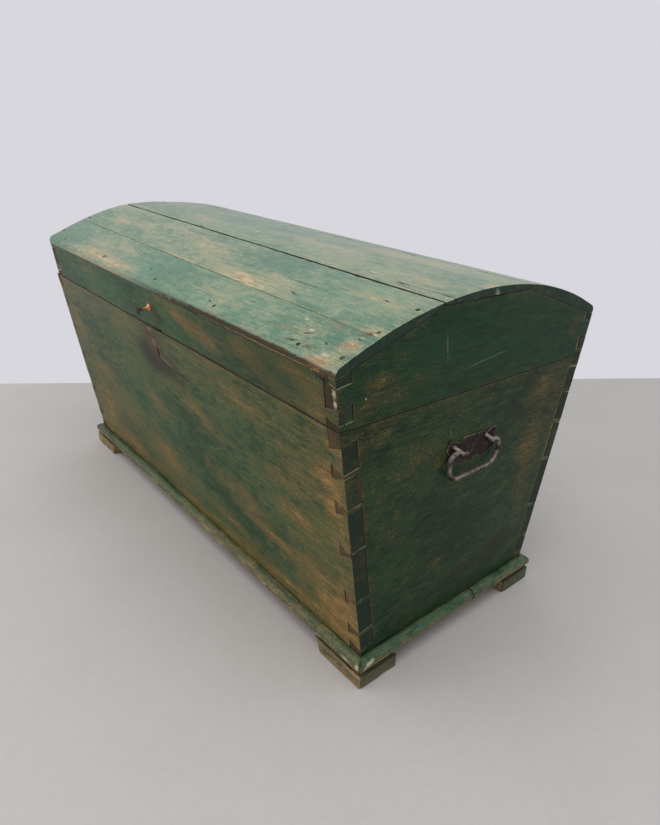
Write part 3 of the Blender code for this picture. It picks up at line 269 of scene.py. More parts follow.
# single marks: face, across, up, half sizes, turn in degrees
marks = {
    "boxBoards": {
        "dark": (
            ("front", 0.070, 0.4495, 0.048, 0.0014, -4), ("front", 0.012, 0.5300, 0.026, 0.0050, 0),
            ("front", -0.410, 0.4590, 0.031, 0.0020, -12), ("front", -0.037, 0.2374, 0.008, 0.0030, -10),
            ("front", 0.160, 0.1850, 0.120, 0.0009, -3), ("front", 0.556, 0.6060, 0.020, 0.0040, 0),
            # the long dark line at 0.6117 lies just under the dome's front edge: painted shadow
            ("front", 0.330, 0.3020, 0.006, 0.0030, 0), ("front", 0.200, 0.6117, 0.420, 0.0013, 0)),
        "faint": (("front", 0.018, 0.4590, 0.026, 0.0022, -14), ("front", 0.0800, 0.5150, 0.018, 0.0012, -3)),
        "soot": (
            ("front", 0.020, 0.4560, 0.062, 0.0170, -14), ("front", -0.060, 0.4420, 0.060, 0.0260, -14),
            ("front", -0.036, 0.5060, 0.028, 0.0160, 0), ("front", 0.0240, 0.5600, 0.016, 0.0120, -30)),
        "stain": (
            ("front", -0.034, 0.4880, 0.034, 0.0240, -40), ("front", 0.034, 0.4620, 0.046, 0.0070, -14),
            ("front", 0.0100, 0.5620, 0.017, 0.0060, -40), ("front", -0.020, 0.5120, 0.044, 0.0100, -6)),
        "bare": (("front", -0.004, 0.5790, 0.010, 0.0060, 0), ("front", -0.0250, 0.4930, 0.009, 0.0050, -30),
                 ("front", -0.030, 0.5200, 0.014, 0.0030, 0)),
    },
    "endBoards": {
        "dark": (("right", -0.150, 0.2860, 0.042, 0.0013, -7), ("right", 0.060, 0.1500, 0.090, 0.0009, 3)),
        "faint": (
            ("right", -0.0995, 0.6210, 0.0250, 0.0007, -79), ("right", -0.060, 0.4560, 0.0070, 0.0006, -80),
            ("right", 0.020, 0.5800, 0.0500, 0.0008, 6)),
        "pale": (("right", -0.272, 0.5720, 0.0014, 0.0014, 0), ("right", -0.238, 0.5940, 0.0012, 0.0012, 0),
                 ("front", 0.5760, 0.5900, 0.0036, 0.0070, 0), ("front", 0.5765, 0.5735, 0.0034, 0.0056, 0),
                 ("front", 0.5740, 0.6030, 0.0050, 0.0020, 0)),
        "stain": (("right", -0.290, 0.4720, 0.014, 0.0260, 0), ("right", -0.270, 0.3700, 0.012, 0.0300, 0)),
    },
    "domeBoards": {
        "dark": (
            ("top", -0.044, -0.300, 0.0070, 0.0015, -12), ("top", 0.471, -0.294, 0.0080, 0.0015, 20),
            ("top", 0.521, -0.299, 0.0050, 0.0018, -20), ("top", 0.343, -0.227, 0.0080, 0.0015, -12),
            ("top", 0.507, -0.168, 0.0070, 0.0016, 0), ("top", -0.168, -0.114, 0.0090, 0.0026, 0),
            ("top", 0.345, -0.1955, 0.060, 0.0010, 0), ("top", 0.495, -0.1075, 0.030, 0.0012, -5),
            ("top", 0.460, -0.3160, 0.0080, 0.0018, 14), ("top", 0.300, -0.2790, 0.0050, 0.0014, 30),
            ("top", 0.560, -0.2700, 0.0040, 0.0016, 0), ("top", 0.215, -0.3130, 0.0060, 0.0016, -20)),
        "pale": (
            ("top", 0.3905, -0.0870, 0.0070, 0.0020, 0), ("top", 0.470, -0.2860, 0.0050, 0.0026, 10),
            ("top", 0.438, -0.2700, 0.0040, 0.0016, 0), ("top", 0.540, -0.3170, 0.0060, 0.0024, 10)),
        "arris": (("front", 0.430, 0.6133, 0.165, 0.0013, 0),),
        "stain": (("top", 0.561, -0.252, 0.010, 0.0050, 30), ("top", 0.500, -0.316, 0.012, 0.0040, 10)),
        "bare": (
            ("top", 0.557, -0.287, 0.012, 0.0060, 20), ("top", 0.543, -0.329, 0.018, 0.0040, 5),
            ("top", 0.500, -0.262, 0.012, 0.0030, -10), ("top", 0.420, -0.300, 0.010, 0.0030, 10)),
    },
    "baseBoards": {
        "pale": (
            ("right", -0.2260, 0.0490, 0.0100, 0.0034, 12), ("right", -0.2380, 0.0450, 0.0060, 0.0020, 50),
            ("front", 0.590, 0.0480, 0.0036, 0.0050, 0), ("front", 0.560, 0.0440, 0.0090, 0.0020, 0),
            ("front", 0.480, 0.0400, 0.0060, 0.0016, 0), ("front", 0.300, 0.0440, 0.0080, 0.0018, 0),
            ("front", 0.120, 0.0400, 0.0060, 0.0016, 0)),
        "bare": (("front", 0.560, 0.0060, 0.0400, 0.0050, 0), ("front", 0.480, 0.0040, 0.0300, 0.0030, 0)),
    },
}

# for each face, its axes across and up, and the depth that its marks are centred on
markFaces = {"front": ((0, 2), -0.28), "right": ((1, 2), 0.583), "top": ((0, 1), 0.66)}
markDepth = 0.25                  # half of how deep a mark reaches

# noise in the wood: scale along, across and through the board, then detail and roughness
grainNoise = {
    "fibre": ((14, 560, 560), 3, 0.6), "streak": ((8, 44, 44), 4, 0.6), "cloud": ((3.5, 8, 8), 5, 0.6),
    "brush": ((30, 210, 210), 3, 0.6), "mottle": ((42, 75, 75), 4, 0.6), "speck": ((300, 480, 480), 2, 0.7),
}


def markPlaces(listed):
    placed = []
    for face, across, up, halfAcross, halfUp, turn in listed:
        axes, deep = markFaces[face]
        centre, sizes, rotation = [deep] * 3, [markDepth] * 3, [0.0] * 3
        centre[axes[0]], centre[axes[1]] = across, up
        sizes[axes[0]], sizes[axes[1]] = halfAcross, halfUp
        around = 3 - sum(axes)
        rotation[around] = math.radians(turn) * (-1 if face == "front" else 1)
        placed.append((centre, sizes, rotation))
    return placed


def woodNoise(finish, grain, key):
    scale, detail, rough = grainNoise[key]
    return finish.noise(finish.stretch(grain, scale), 1, detail, rough)


def pineColour(finish, grain):
    rings = finish.noise(finish.stretch(grain, pineLook["rings"]), 1, 4, 0.55, pineLook["wander"])
    fibre = woodNoise(finish, grain, "fibre")
    stain = finish.noise(finish.stretch(grain, pineLook["stains"]), 1, 4)
    colour = finish.mix(finish.smooth(rings + (fibre - 0.5) * 0.4, 0.36, 0.66),
                        pineLook["light"], pineLook["dark"])
    return finish.mix(finish.smooth(stain, 0.5, 0.8) * 0.6, colour, pineLook["soot"]), rings + fibre * 0.5


def rubbing(look, noises, worn):
    # it follows the strokes where it is strong, and breaks up into specks at its rim
    fibre, streak, cloud, brush, mottle, speck = noises.values()
    rub = worn * ((streak - 0.5) * look["streaky"] + (brush - 0.5) * 0.8 + 1)
    rub = rub + (mottle - 0.5) * look["mottled"] + (cloud - 0.5) * 0.9
    return rub + (speck - 0.5) * 0.6 + (fibre - 0.5) * 0.5


def freshPaint(finish, look, noises, shown):
    cloud, brush, mottle = (noises[key] for key in ("cloud", "brush", "mottle"))
    tone = cloud * 0.9 + (brush - 0.5) * 0.6 + (mottle - 0.5) * 0.5
    paint = finish.mix(finish.smooth(tone, 0.25, 0.65), look["dark"], look["light"])
    tint = finish.smooth(finish.number("tint") + (mottle - 0.5) * 0.6, 0.15, 0.8)
    paint = finish.mix(tint * 0.8, paint, look["teal"])
    ends = finish.mix(finish.smooth(cloud + (mottle - 0.5) * 1.4, 0.54, 0.74), look["side"], look["sideWorn"])
    return finish.mix(shown, ends, paint)


def weathered(finish, look, noises, colour, listed):
    # dirt and painted shade, single marks, speckle, dark seams, and pale chips that are partly a painted
    # highlight
    used = ("fibre", "cloud", "brush", "mottle", "speck")
    fibre, cloud, brush, mottle, speck = (noises[key] for key in used)

    def lay(colour, mask, key):
        share, ink = paintOver[key]
        return finish.mix(mask * share, colour, ink)

    dirtAndShade = finish.smooth(finish.number("grimeAndShade") + (mottle - 0.5) * 0.4 + (speck - 0.5) * 0.2, 0.15, 1.0)
    colour = lay(colour, dirtAndShade, "dirtAndShade")
    place = finish.objectPlace()
    ragged = (speck - 0.5) * 3.6 + (brush - 0.5) * 1.6
    for kind, (share, ink, softness) in markKinds.items():
        if kind in listed:
            mask = finish.spots(place, markPlaces(listed[kind]), ragged, softness)
            colour = finish.mix(mask * share, colour, ink)
    speckle = (speck - 0.5) * look["speckle"] + (fibre - 0.5) * look["speckle"] + 1
    colour = finish.mix(1.0, colour, speckle, "MULTIPLY")
    seam = finish.number("crease") + (brush - 0.5) * 0.9 + (cloud - 0.5) * look["seam"]
    colour = lay(colour, finish.smooth(seam, 0.50, 0.90), "edge")
    chipAndHighlight = finish.number("chipAndHighlight") + (speck - 0.5) * 1.4 + (mottle - 0.5) * 1.6
    return lay(colour, finish.smooth(chipAndHighlight, 0.80, 1.0), "chipAndHighlight")


def paintedWood(name, look):
    finish = Finish(bpy.data.materials.new(name))
    grain = finish.vector("grain")
    noises = {key: woodNoise(finish, grain, key) for key in grainNoise}
    fibre, streak, mottle, speck = (noises[key] for key in ("fibre", "streak", "mottle", "speck"))
    shown = finish.number("shown")
    raw = finish.number("raw")
    seen = shown * 0.85 + 0.15
    rub = rubbing(look, noises, finish.number("worn"))
    paint = freshPaint(finish, look, noises, shown)
    paint = finish.mix(finish.smooth(rub, 0.02, 0.56) * look["haze"] * seen, paint, look["thin"])
    pale = finish.smooth(fibre + (mottle - 0.5) * 0.9, 0.3, 0.7)
    bare = finish.smooth(rub, 0.48, 1.06) * seen
    colour = finish.mix(bare, paint, finish.mix(pale, look["bareDark"], look["bareLight"]))
    flake = finish.smooth(speck + rub * 0.34, 0.72, 0.79) * seen
    colour = finish.mix(flake * look["flaked"], colour, look["flake"])
    under = finish.smooth(finish.number("under") + (mottle - 0.5) * 1.2 + (speck - 0.5) * 0.8, 0.35, 0.60)
    colour = finish.mix(under * 0.95, colour, finish.mix(pale, look["underDark"], look["underLight"]))
    colour = weathered(finish, look, noises, colour, marks[name])
    pine, pineHeight = pineColour(finish, grain)
    colour = finish.mix(raw, colour, pine)
    low, high = look["rough"]
    dull = finish.sum("MAXIMUM", under, 1 - shown)
    rough = bare * (high - low) + low + (speck - 0.5) * 0.10 + raw * (1 - bare) * (pineLook["rough"] - low)
    rough = rough + dull * (0.85 - high)
    height = fibre * 0.5 + streak * 0.35 + speck * 0.45 - bare * 0.5 + raw * pineHeight * 0.4
    return finish.done({"Base Color": colour, "Roughness": rough, "Specular IOR Level": look["gloss"]},
                       height, 0.0008, 0.6)


def rawPine():
    # the bottom boards: clean above, and dark below where shown falls to 0, as painted shade under the chest
    finish = Finish(bpy.data.materials.new("rawPine"))
    colour, height = pineColour(finish, finish.vector("grain"))
    colour = finish.mix(finish.number("shown"), pineLook["undersideShade"], colour)
    return finish.done({"Base Color": colour, "Roughness": pineLook["rough"]}, height, 0.0005, 0.6)


# worn is the pale colour laid on where the iron shines: rubbed metal, and a painted highlight
ironLooks = {
    "forgedIron": {"body": shade(52, 44, 42), "worn": shade(150, 138, 130), "rust": shade(74, 50, 38),
                   "polishAndHighlight": 0.55},
    "handleIron": {"body": shade(17, 14, 13), "worn": shade(184, 172, 162), "rust": shade(56, 38, 32),
                   "polishAndHighlight": 0.92},
    "nailIron": {"body": shade(30, 26, 24), "worn": shade(120, 108, 100), "rust": shade(60, 42, 34),
                 "polishAndHighlight": 0.3, "paint": paintLooks["domeBoards"]["dark"]},
}


def iron(name, look):
    # its points carry rim, 1 on the edges that shine; the pale worn colour laid there is rubbed iron and a
    # painted highlight
    finish = Finish(bpy.data.materials.new(name))
    place = finish.objectPlace()
    cloud = finish.noise(place, 60, 4, 0.6)
    pits = finish.noise(place, 420, 3, 0.6)
    spots = finish.noise(place, 140, 4, 0.65)
    colour = finish.mix(finish.smooth(cloud, 0.35, 0.7), look["body"], look["rust"])
    shine = finish.smooth(finish.number("rim") * 0.55 + (spots - 0.5) * 0.8, 0.15, 0.75)
    colour = finish.mix(shine * look["polishAndHighlight"], colour, look["worn"])
    rough = 0.60 - shine * 0.22 + (pits - 0.5) * 0.25
    metal = 0.25 + shine * 0.15
    if "paint" in look:
        # the brush went over part of it
        covered = finish.smooth(finish.noise(place, 190, 3, 0.6), 0.44, 0.54)
        colour = finish.mix(covered, colour, look["paint"])
        metal = metal * (1 - covered)
    height = cloud * 0.8 + pits * 0.35 + spots * 0.5
    return finish.done({"Base Color": colour, "Roughness": rough, "Metallic": metal,
                        "Specular IOR Level": 0.3}, height, 0.0007, 0.7)


brassLook = {"bright": shade(222, 154, 112), "tarnished": shade(58, 44, 34), "rim": shade(186, 176, 164)}


def oldBrass():
    # its points also carry handled, 1 where it has gone dark
    finish = Finish(bpy.data.materials.new("oldBrass"))
    place = finish.objectPlace()
    cloud = finish.noise(place, 160, 4, 0.6)
    fine = finish.noise(place, 900, 2, 0.6)
    tarnish = finish.smooth(cloud * 0.6 + finish.number("handled"), 0.35, 0.85)
    colour = finish.mix(tarnish, brassLook["bright"], brassLook["tarnished"])
    # the pale colour on the knob's edges is a painted highlight
    colour = finish.mix(finish.number("rim") * tarnish * 0.15, colour, brassLook["rim"])
    return finish.done({"Base Color": colour, "Roughness": 0.30 + tarnish * 0.22 + (fine - 0.5) * 0.1,
                        "Metallic": 0.75 - tarnish * 0.15}, cloud * 0.5 + fine * 0.3, 0.0003, 0.5)


materials = {key: paintedWood(key, look) for key, look in paintLooks.items()}
materials["rawPine"] = rawPine()
materials.update({key: iron(key, look) for key, look in ironLooks.items()})
materials["oldBrass"] = oldBrass()
print("materials done")


# Mesh work shared by the pieces

def solidOf(node):
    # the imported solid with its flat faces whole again
    shape = bmesh.new()
    shape.from_mesh(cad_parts[node].data)
    bmesh.ops.remove_doubles(shape, verts=shape.verts, dist=1e-5)
    bmesh.ops.dissolve_limit(shape, angle_limit=0.004, verts=shape.verts, edges=shape.edges)
    bmesh.ops.recalc_face_normals(shape, faces=shape.faces)
    return shape


sealedShare = 0.2                 # a joint that keeps less of its dark line than this is painted shut
edgeReach = 0.0016                # how near a face an edge lies that belongs to it


def roundEdges(shape, width, angle=35, segments=2, closed=()):
    crease = shape.faces.layers.float.new("crease")

    def painted(edge):
        # both ends lie in a corner that paint has closed
        return any(all(low < value < high for vertex in edge.verts
                       for value, low, high in zip(vertex.co, corner, opposite))
                   for corner, opposite, share in closed if share < sealedShare)

    def steep(edge):
        return len(edge.link_faces) == 2 and edge.calc_face_angle(0) > math.radians(angle)

    chosen = [edge for edge in shape.edges if steep(edge) and not painted(edge)]
    made = bmesh.ops.bevel(shape, geom=chosen, offset=width, offset_type="OFFSET", segments=segments,
                           profile=0.5, affect="EDGES", clamp_overlap=False)
    for face in made["faces"]:
        face[crease] = 1.0


def cutGrid(shape, axis, places):
    normal = Vector((0, 0, 0))
    normal[axis] = 1
    for place in places:
        point = normal * place
        bmesh.ops.bisect_plane(shape, geom=shape.verts[:] + shape.edges[:] + shape.faces[:],
                               dist=1e-5, plane_co=point, plane_no=normal)


def gridPlaces(low, high, step, margin):
    # even steps, with one more line close inside each end
    count = max(1, round((high - low - 2 * margin) / step))
    return [low + margin + (high - low - 2 * margin) * index / count for index in range(count + 1)]


def waver(place, scale, height):
    return (noise.noise(place * scale) + 0.4 * noise.noise(place * scale * 3.7)) * height


def stepIslands(shape, direction, low, high, rng):
    # the end grain of each tail or pin stands a little proud or sunk
    shape.faces.ensure_lookup_table()
    waiting = {face for face in shape.faces if face.normal.dot(direction) > 0.98}
    while waiting:
        # the lowest one first, so that the order of draws never changes
        first = min(waiting, key=lambda face: (round(face.calc_center_median().z, 5), face.index))
        island, edge = {first}, [first]
        while edge:
            face = edge.pop()
            for link in face.edges:
                for other in link.link_faces:
                    if other in waiting and other not in island:
                        island.add(other)
                        edge.append(other)
        waiting -= island
        shift = direction * rng.uniform(low, high)
        for vertex in {vertex for face in island for vertex in face.verts}:
            vertex.co += shift


def handWork(shape, height, nick, seed):
    # slightly uneven faces, and edges that have taken knocks
    crease = shape.faces.layers.float.get("crease")
    shape.normal_update()
    offset = Vector((seed * 1.7, seed * 0.9, seed * 2.3))
    moves = []
    for vertex in shape.verts:
        place = vertex.co + offset
        move = waver(place, 9, height)
        if crease and any(face[crease] > 0 for face in vertex.link_faces):
            move -= nick * max(0.0, noise.noise(place * 55) - 0.05) * 1.6
        moves.append(vertex.normal * move)
    for vertex, move in zip(shape.verts, moves):
        vertex.co += move


def pieceFrom(shape, name, material, body, nodes):
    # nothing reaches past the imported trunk's box
    for vertex in shape.verts:
        vertex.co = [min(max(value, low), high) for value, low, high in zip(vertex.co, *cadBox)]
    mesh = bpy.data.meshes.new(name)
    shape.to_mesh(mesh)
    shape.free()
    mesh.materials.append(materials[material])
    mesh.shade_smooth()
    item = bpy.data.objects.new(name, mesh)
    scene.collection.objects.link(item)
    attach(item, body)
    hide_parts(*nodes)
    return item


def weigh(item):
    modifier = item.modifiers.new("evenNormals", "WEIGHTED_NORMAL")
    modifier.weight = 80
    modifier.keep_sharp = True


def places(mesh):
    values = np.empty(len(mesh.vertices) * 3)
    mesh.vertices.foreach_get("co", values)
    return values.reshape(-1, 3)


def normals(mesh):
    values = np.empty(len(mesh.vertices) * 3)
    mesh.vertex_normals.foreach_get("vector", values)
    return values.reshape(-1, 3)


def setPoints(mesh, name, values):
    mesh.attributes.new(name, "FLOAT", "POINT").data.foreach_set("value", np.asarray(values, float))


def setGrain(mesh, order, seed):
    rng = random.Random(seed)
    shift = [rng.uniform(-3, 3) for axis in range(3)]
    values = places(mesh)[:, order] + shift
    mesh.attributes.new("grain", "FLOAT_VECTOR", "POINT").data.foreach_set("vector", values.ravel())


def setRaw(mesh, inward):
    # faces that look this way were never painted
    values = [1.0 if face.normal.dot(inward) > 0.45 else 0.0 for face in mesh.polygons]
    mesh.attributes.new("raw", "FLOAT", "FACE").data.foreach_set("value", values)


def setEdges(mesh, look):
    # rounded edges: dark where boards meet, pale where they look up (chipped paint, and a painted highlight
    # on the upward edges), plain on the trunk's outer corners
    crease = np.zeros(len(mesh.polygons))
    mesh.attributes["crease"].data.foreach_get("value", crease)
    where = places(mesh)
    middles = np.array([face.center for face in mesh.polygons])

    def near(direction):
        unit = np.array(Vector(direction).normalized())
        return (where @ unit).max() - middles @ unit < edgeReach

    for direction in look["stepped"]:
        crease[near(look["outward"]) & near(direction)] = 0
    for corner, opposite, share in look["closed"]:
        inside = np.all((middles > corner) & (middles < opposite), axis=1)
        crease[inside] *= share
    up = np.array([face.normal.z for face in mesh.polygons])
    inRange = np.any([(middles[:, 2] > low) & (middles[:, 2] < high) & (middles[:, 0] > left)
                      for low, high, left in look["chipAndHighlightRange"]], axis=0)
    # rounded edges that look up go pale: chipped paint, and a painted highlight
    chipAndHighlight = np.where((crease > 0) & (up > 0.3) & inRange, 1.0, 0.0)
    mesh.attributes["crease"].data.foreach_set("value", crease * (1 - chipAndHighlight))
    mesh.attributes.new("chipAndHighlight", "FLOAT", "FACE").data.foreach_set("value", chipAndHighlight)


def rimDistance(mesh):
    # how far each point lies from a rounded edge
    values = mesh.attributes["crease"].data
    rim = sorted({index for face in mesh.polygons if values[face.index].value > 0 for index in face.vertices})
    tree = KDTree(max(1, len(rim)))
    for index in rim:
        tree.insert(mesh.vertices[index].co, index)
    tree.balance()
    return np.array([tree.find(vertex.co)[2] if rim else 1.0 for vertex in mesh.vertices])


def brushOn(where, facing, patches, axes):
    # each patch: centre, half sizes, turn in degrees, strength
    total = np.zeros(len(where))
    for across, up, halfAcross, halfUp, turn, strength in patches:
        cosine, sine = math.cos(math.radians(turn)), math.sin(math.radians(turn))
        right = where[:, axes[0]] - across
        rise = where[:, axes[1]] - up
        along = (right * cosine + rise * sine) / halfAcross
        beside = (rise * cosine - right * sine) / halfUp
        total += strength * np.exp(-(along ** 2 + beside ** 2) * 1.2)
    return total * facing


def scatter(seed, count, first, second, sizes, strengths):
    # patches in places of their own, for the sides that nobody has seen
    rng = random.Random(seed)
    return [(rng.uniform(*first), rng.uniform(*second), rng.uniform(*sizes[0]), rng.uniform(*sizes[1]),
             rng.uniform(-6, 6), rng.uniform(*strengths)) for index in range(count)]


# what a board has unless its own look says otherwise
plainBoard = {
    "round": 0.0007,              # of its edges
    "gridMargin": 0.004,
    "height": 0.0003,             # of its unevenness
    "nick": 0.0008,               # how deep knocks go
    "stepped": (),                # the ways that its tails or pins look
    "proud": (-0.0007, 0.0004),   # how far each of those is sunk or stands out
    "closed": (),                 # boxes in which paint bridges a joint, with the share of dark line left
    "cuts": (),                   # further grid lines: axis, place
    "pulled": (),                 # what moves along an axis: axis, from, to, by
    "chipAndHighlightRange": (),
    "worn": 0.1, "drift": 0.25, "edgeWear": 0.3, "frontWorn": 0.0, "lowWorn": 0.0,
    "grimeAndShade": 0.0, "edgeDirt": 0.25, "endGrime": 0.0, "lowShade": 0.0, "tint": 0.0,
    "wear": (), "dirtAndShade": (), "teal": (), "noseWear": (),
    "frontPainted": False, "allPainted": False,
}

# wear near the floor, and painted shade darkening towards it: height where it starts, and over how much
# it grows
lowBands = {"lowWorn": (0.053, 0.012), "lowShade": (0.045, 0.010)}
edgeFade = {"edgeWear": 0.0035, "edgeDirt": 0.0030}


def paintBoard(item, look, seed):
    mesh = item.data
    where, facing = places(mesh), normals(mesh)
    outward = np.array(look["outward"])
    shown = np.clip(facing @ outward * 2 - 0.4, 0, 1)
    forward = np.clip(-facing[:, 1] * 1.6 - 0.3, 0, 1)
    if look["frontPainted"]:
        shown = np.maximum(shown, forward)
    if look["allPainted"]:
        shown = np.clip(facing[:, 2] * 2 + 2, 0, 1)
    near = rimDistance(mesh)
    drift = np.array([noise.noise(Vector(point) * 2.6 + Vector((seed, 0, 0))) for point in where])

    def patches(key):
        return brushOn(where, shown, look[key], look["axes"])

    def low(key):
        start, depth = lowBands[key]
        return look[key] * np.clip((start - where[:, 2]) / depth, 0, 1)

    def edge(key):
        return look[key] * np.exp(-near / edgeFade[key])

    worn = look["worn"] + drift * look["drift"]
    worn = worn * (0.2 + 0.8 * shown) + patches("wear") + forward * look["frontWorn"]
    worn = worn + low("lowWorn") + edge("edgeWear") * (0.2 + 0.8 * shown)
    # the dirt patches include painted shadow and shade under the lid's lip and the dome's front edge
    grimeAndShade = patches("dirtAndShade") + edge("edgeDirt")
    # faces that don't look forward take the look's grime, which on the feet is painted shade
    grimeAndShade = grimeAndShade + look["endGrime"] * (1 - shown) + look["grimeAndShade"] * (1 - forward) + low("lowShade")
    setPoints(mesh, "under", brushOn(where, forward, look["noseWear"], (0, 2)))
    setPoints(mesh, "worn", worn)
    setPoints(mesh, "shown", np.clip(shown, 0, 1))
    setPoints(mesh, "grimeAndShade", grimeAndShade)
    setPoints(mesh, "tint", look["tint"] + patches("teal"))
    setEdges(mesh, look)
    setGrain(mesh, look["order"], seed)
    setRaw(mesh, Vector(look["inward"]))


def board(node, body, material, ownLook, seed):
    look = {**plainBoard, **ownLook}
    shape = solidOf(node)
    roundEdges(shape, look["round"], closed=look["closed"])
    low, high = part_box(node)
    for axis, step in look["grid"]:
        cutGrid(shape, axis, gridPlaces(low[axis], high[axis], step, look["gridMargin"]))
    for axis, place in look["cuts"]:
        cutGrid(shape, axis, [place])
    rng = random.Random(seed)
    for direction in look["stepped"]:
        stepIslands(shape, Vector(direction).normalized(), *look["proud"], rng)
    handWork(shape, look["height"], look["nick"], seed)
    for axis, start, end, move in look["pulled"]:
        for vertex in shape.verts:
            if start < vertex.co[axis] < end:
                vertex.co[axis] += move
    item = pieceFrom(shape, node + "Skin", material, body, [node])
    paintBoard(item, look, seed)
    weigh(item)


def boards(looks, body, material, firstSeed):
    for number, (node, look) in enumerate(looks.items()):
        board(node, body, material, look, firstSeed + number)


def leaningOut(out, rise):
    # the outward directions of a front and a back that lean out this far over this rise
    lean = math.atan2(out, rise)
    return [(0, side * math.cos(lean), -math.sin(lean)) for side in (-1, 1)]


# what boards on the same side have in common: axes across and up, and the grain's order
longWall = {"axes": (0, 2), "order": [0, 2, 1], "stepped": ((1, 0, 0), (-1, 0, 0))}
endWall = {"axes": (1, 2), "order": [1, 2, 0], "grid": ((2, 0.012), (1, 0.012))}
frontWall = {**longWall, "inward": (0, 1, 0)}
backWall = {**longWall, "inward": (0, -1, 0)}
rightEnd = {**endWall, "outward": (1, 0, 0), "inward": (-1, 0, 0)}
leftEnd = {**endWall, "outward": (-1, 0, 0), "inward": (1, 0, 0)}


# Box boards

frontOut, backOut = leaningOut(out=0.085, rise=0.471)

# where rounded edges that look up are made pale, as chipped paint and a painted highlight: lowest,
# highest, and how far to the right they start
boxChipsAndHighlights = ((0.0, 0.522, -1.0),)
lidChipsAndHighlights = ((0.535, 0.604, -1.0), (0.604, 0.640, 0.05))

boxBoards = {
    "box_front_board": {
        **frontWall, "outward": frontOut, "grid": ((2, 0.014), (0, 0.014)), "worn": 0.30, "drift": 0.34,
        "chipAndHighlightRange": boxChipsAndHighlights,
        "wear": (
            (-0.468, 0.177, 0.050, 0.060, 10, 0.60), (-0.089, 0.323, 0.050, 0.028, -12, 0.38),
            (0.125, 0.373, 0.075, 0.024, -14, 0.45), (0.319, 0.478, 0.070, 0.020, -8, 0.38),
            (-0.108, 0.165, 0.095, 0.044, -16, 0.50), (0.165, 0.238, 0.075, 0.024, -14, 0.42),
            (0.265, 0.240, 0.070, 0.024, -14, 0.45),
            (0.410, 0.359, 0.060, 0.014, -12, 0.45), (0.330, 0.186, 0.110, 0.022, -10, 0.72),
            (0.203, 0.128, 0.080, 0.020, -6, 0.50), (0.446, 0.291, 0.050, 0.022, -10, 0.55),
            (0.536, 0.449, 0.030, 0.030, 0, 0.40), (0.556, 0.368, 0.026, 0.050, 0, 0.80),
            (0.481, 0.195, 0.070, 0.034, -8, 0.55), (0.518, 0.120, 0.060, 0.050, 0, 0.65),
            (0.558, 0.160, 0.030, 0.090, 0, 0.60), (-0.334, 0.103, 0.070, 0.022, -8, 0.45),
            (0.290, 0.083, 0.200, 0.016, 0, 0.62), (-0.300, 0.090, 0.180, 0.020, 2, 0.30),
            (-0.520, 0.400, 0.040, 0.060, 0, 0.35), (-0.430, 0.300, 0.110, 0.035, -10, 0.22),
            (-0.010, 0.075, 0.160, 0.014, 0, 0.40), (0.470, 0.400, 0.060, 0.016, -12, 0.35)),
        "dirtAndShade": (
            (-0.020, 0.462, 0.120, 0.058, -12, 0.42),
            (-0.045, 0.445, 0.050, 0.030, -12, 0.60), (0.040, 0.430, 0.065, 0.018, -12, 0.45),
            (-0.070, 0.480, 0.030, 0.024, 0, 0.35), (-0.250, 0.080, 0.200, 0.014, 0, 0.35),
            # the long thin band just under the lid is painted shadow below the lid's lip
            (0.000, 0.524, 0.580, 0.006, 0, 0.30)),
        "teal": (
            (0.385, 0.116, 0.045, 0.022, -8, 0.8), (0.047, 0.087, 0.040, 0.018, 0, 0.7),
            (0.567, 0.485, 0.020, 0.030, 0, 0.6), (-0.036, 0.278, 0.060, 0.024, -12, 0.7),
            (-0.244, 0.269, 0.060, 0.030, -10, 0.6), (0.250, 0.420, 0.070, 0.030, -10, 0.5)),
    },
    "box_back_board": {
        **backWall, "outward": backOut, "grid": ((2, 0.016), (0, 0.016)), "worn": 0.20, "drift": 0.34,
        "chipAndHighlightRange": boxChipsAndHighlights,
        "wear": scatter(31, 22, (-0.55, 0.55), (0.08, 0.51), ((0.04, 0.11), (0.014, 0.035)), (0.15, 0.42)),
        "dirtAndShade": scatter(32, 5, (-0.5, 0.5), (0.08, 0.5), ((0.05, 0.15), (0.02, 0.05)), (0.2, 0.4)),
        "teal": scatter(33, 6, (-0.5, 0.5), (0.1, 0.5), ((0.04, 0.08), (0.02, 0.03)), (0.4, 0.7)),
    },
}

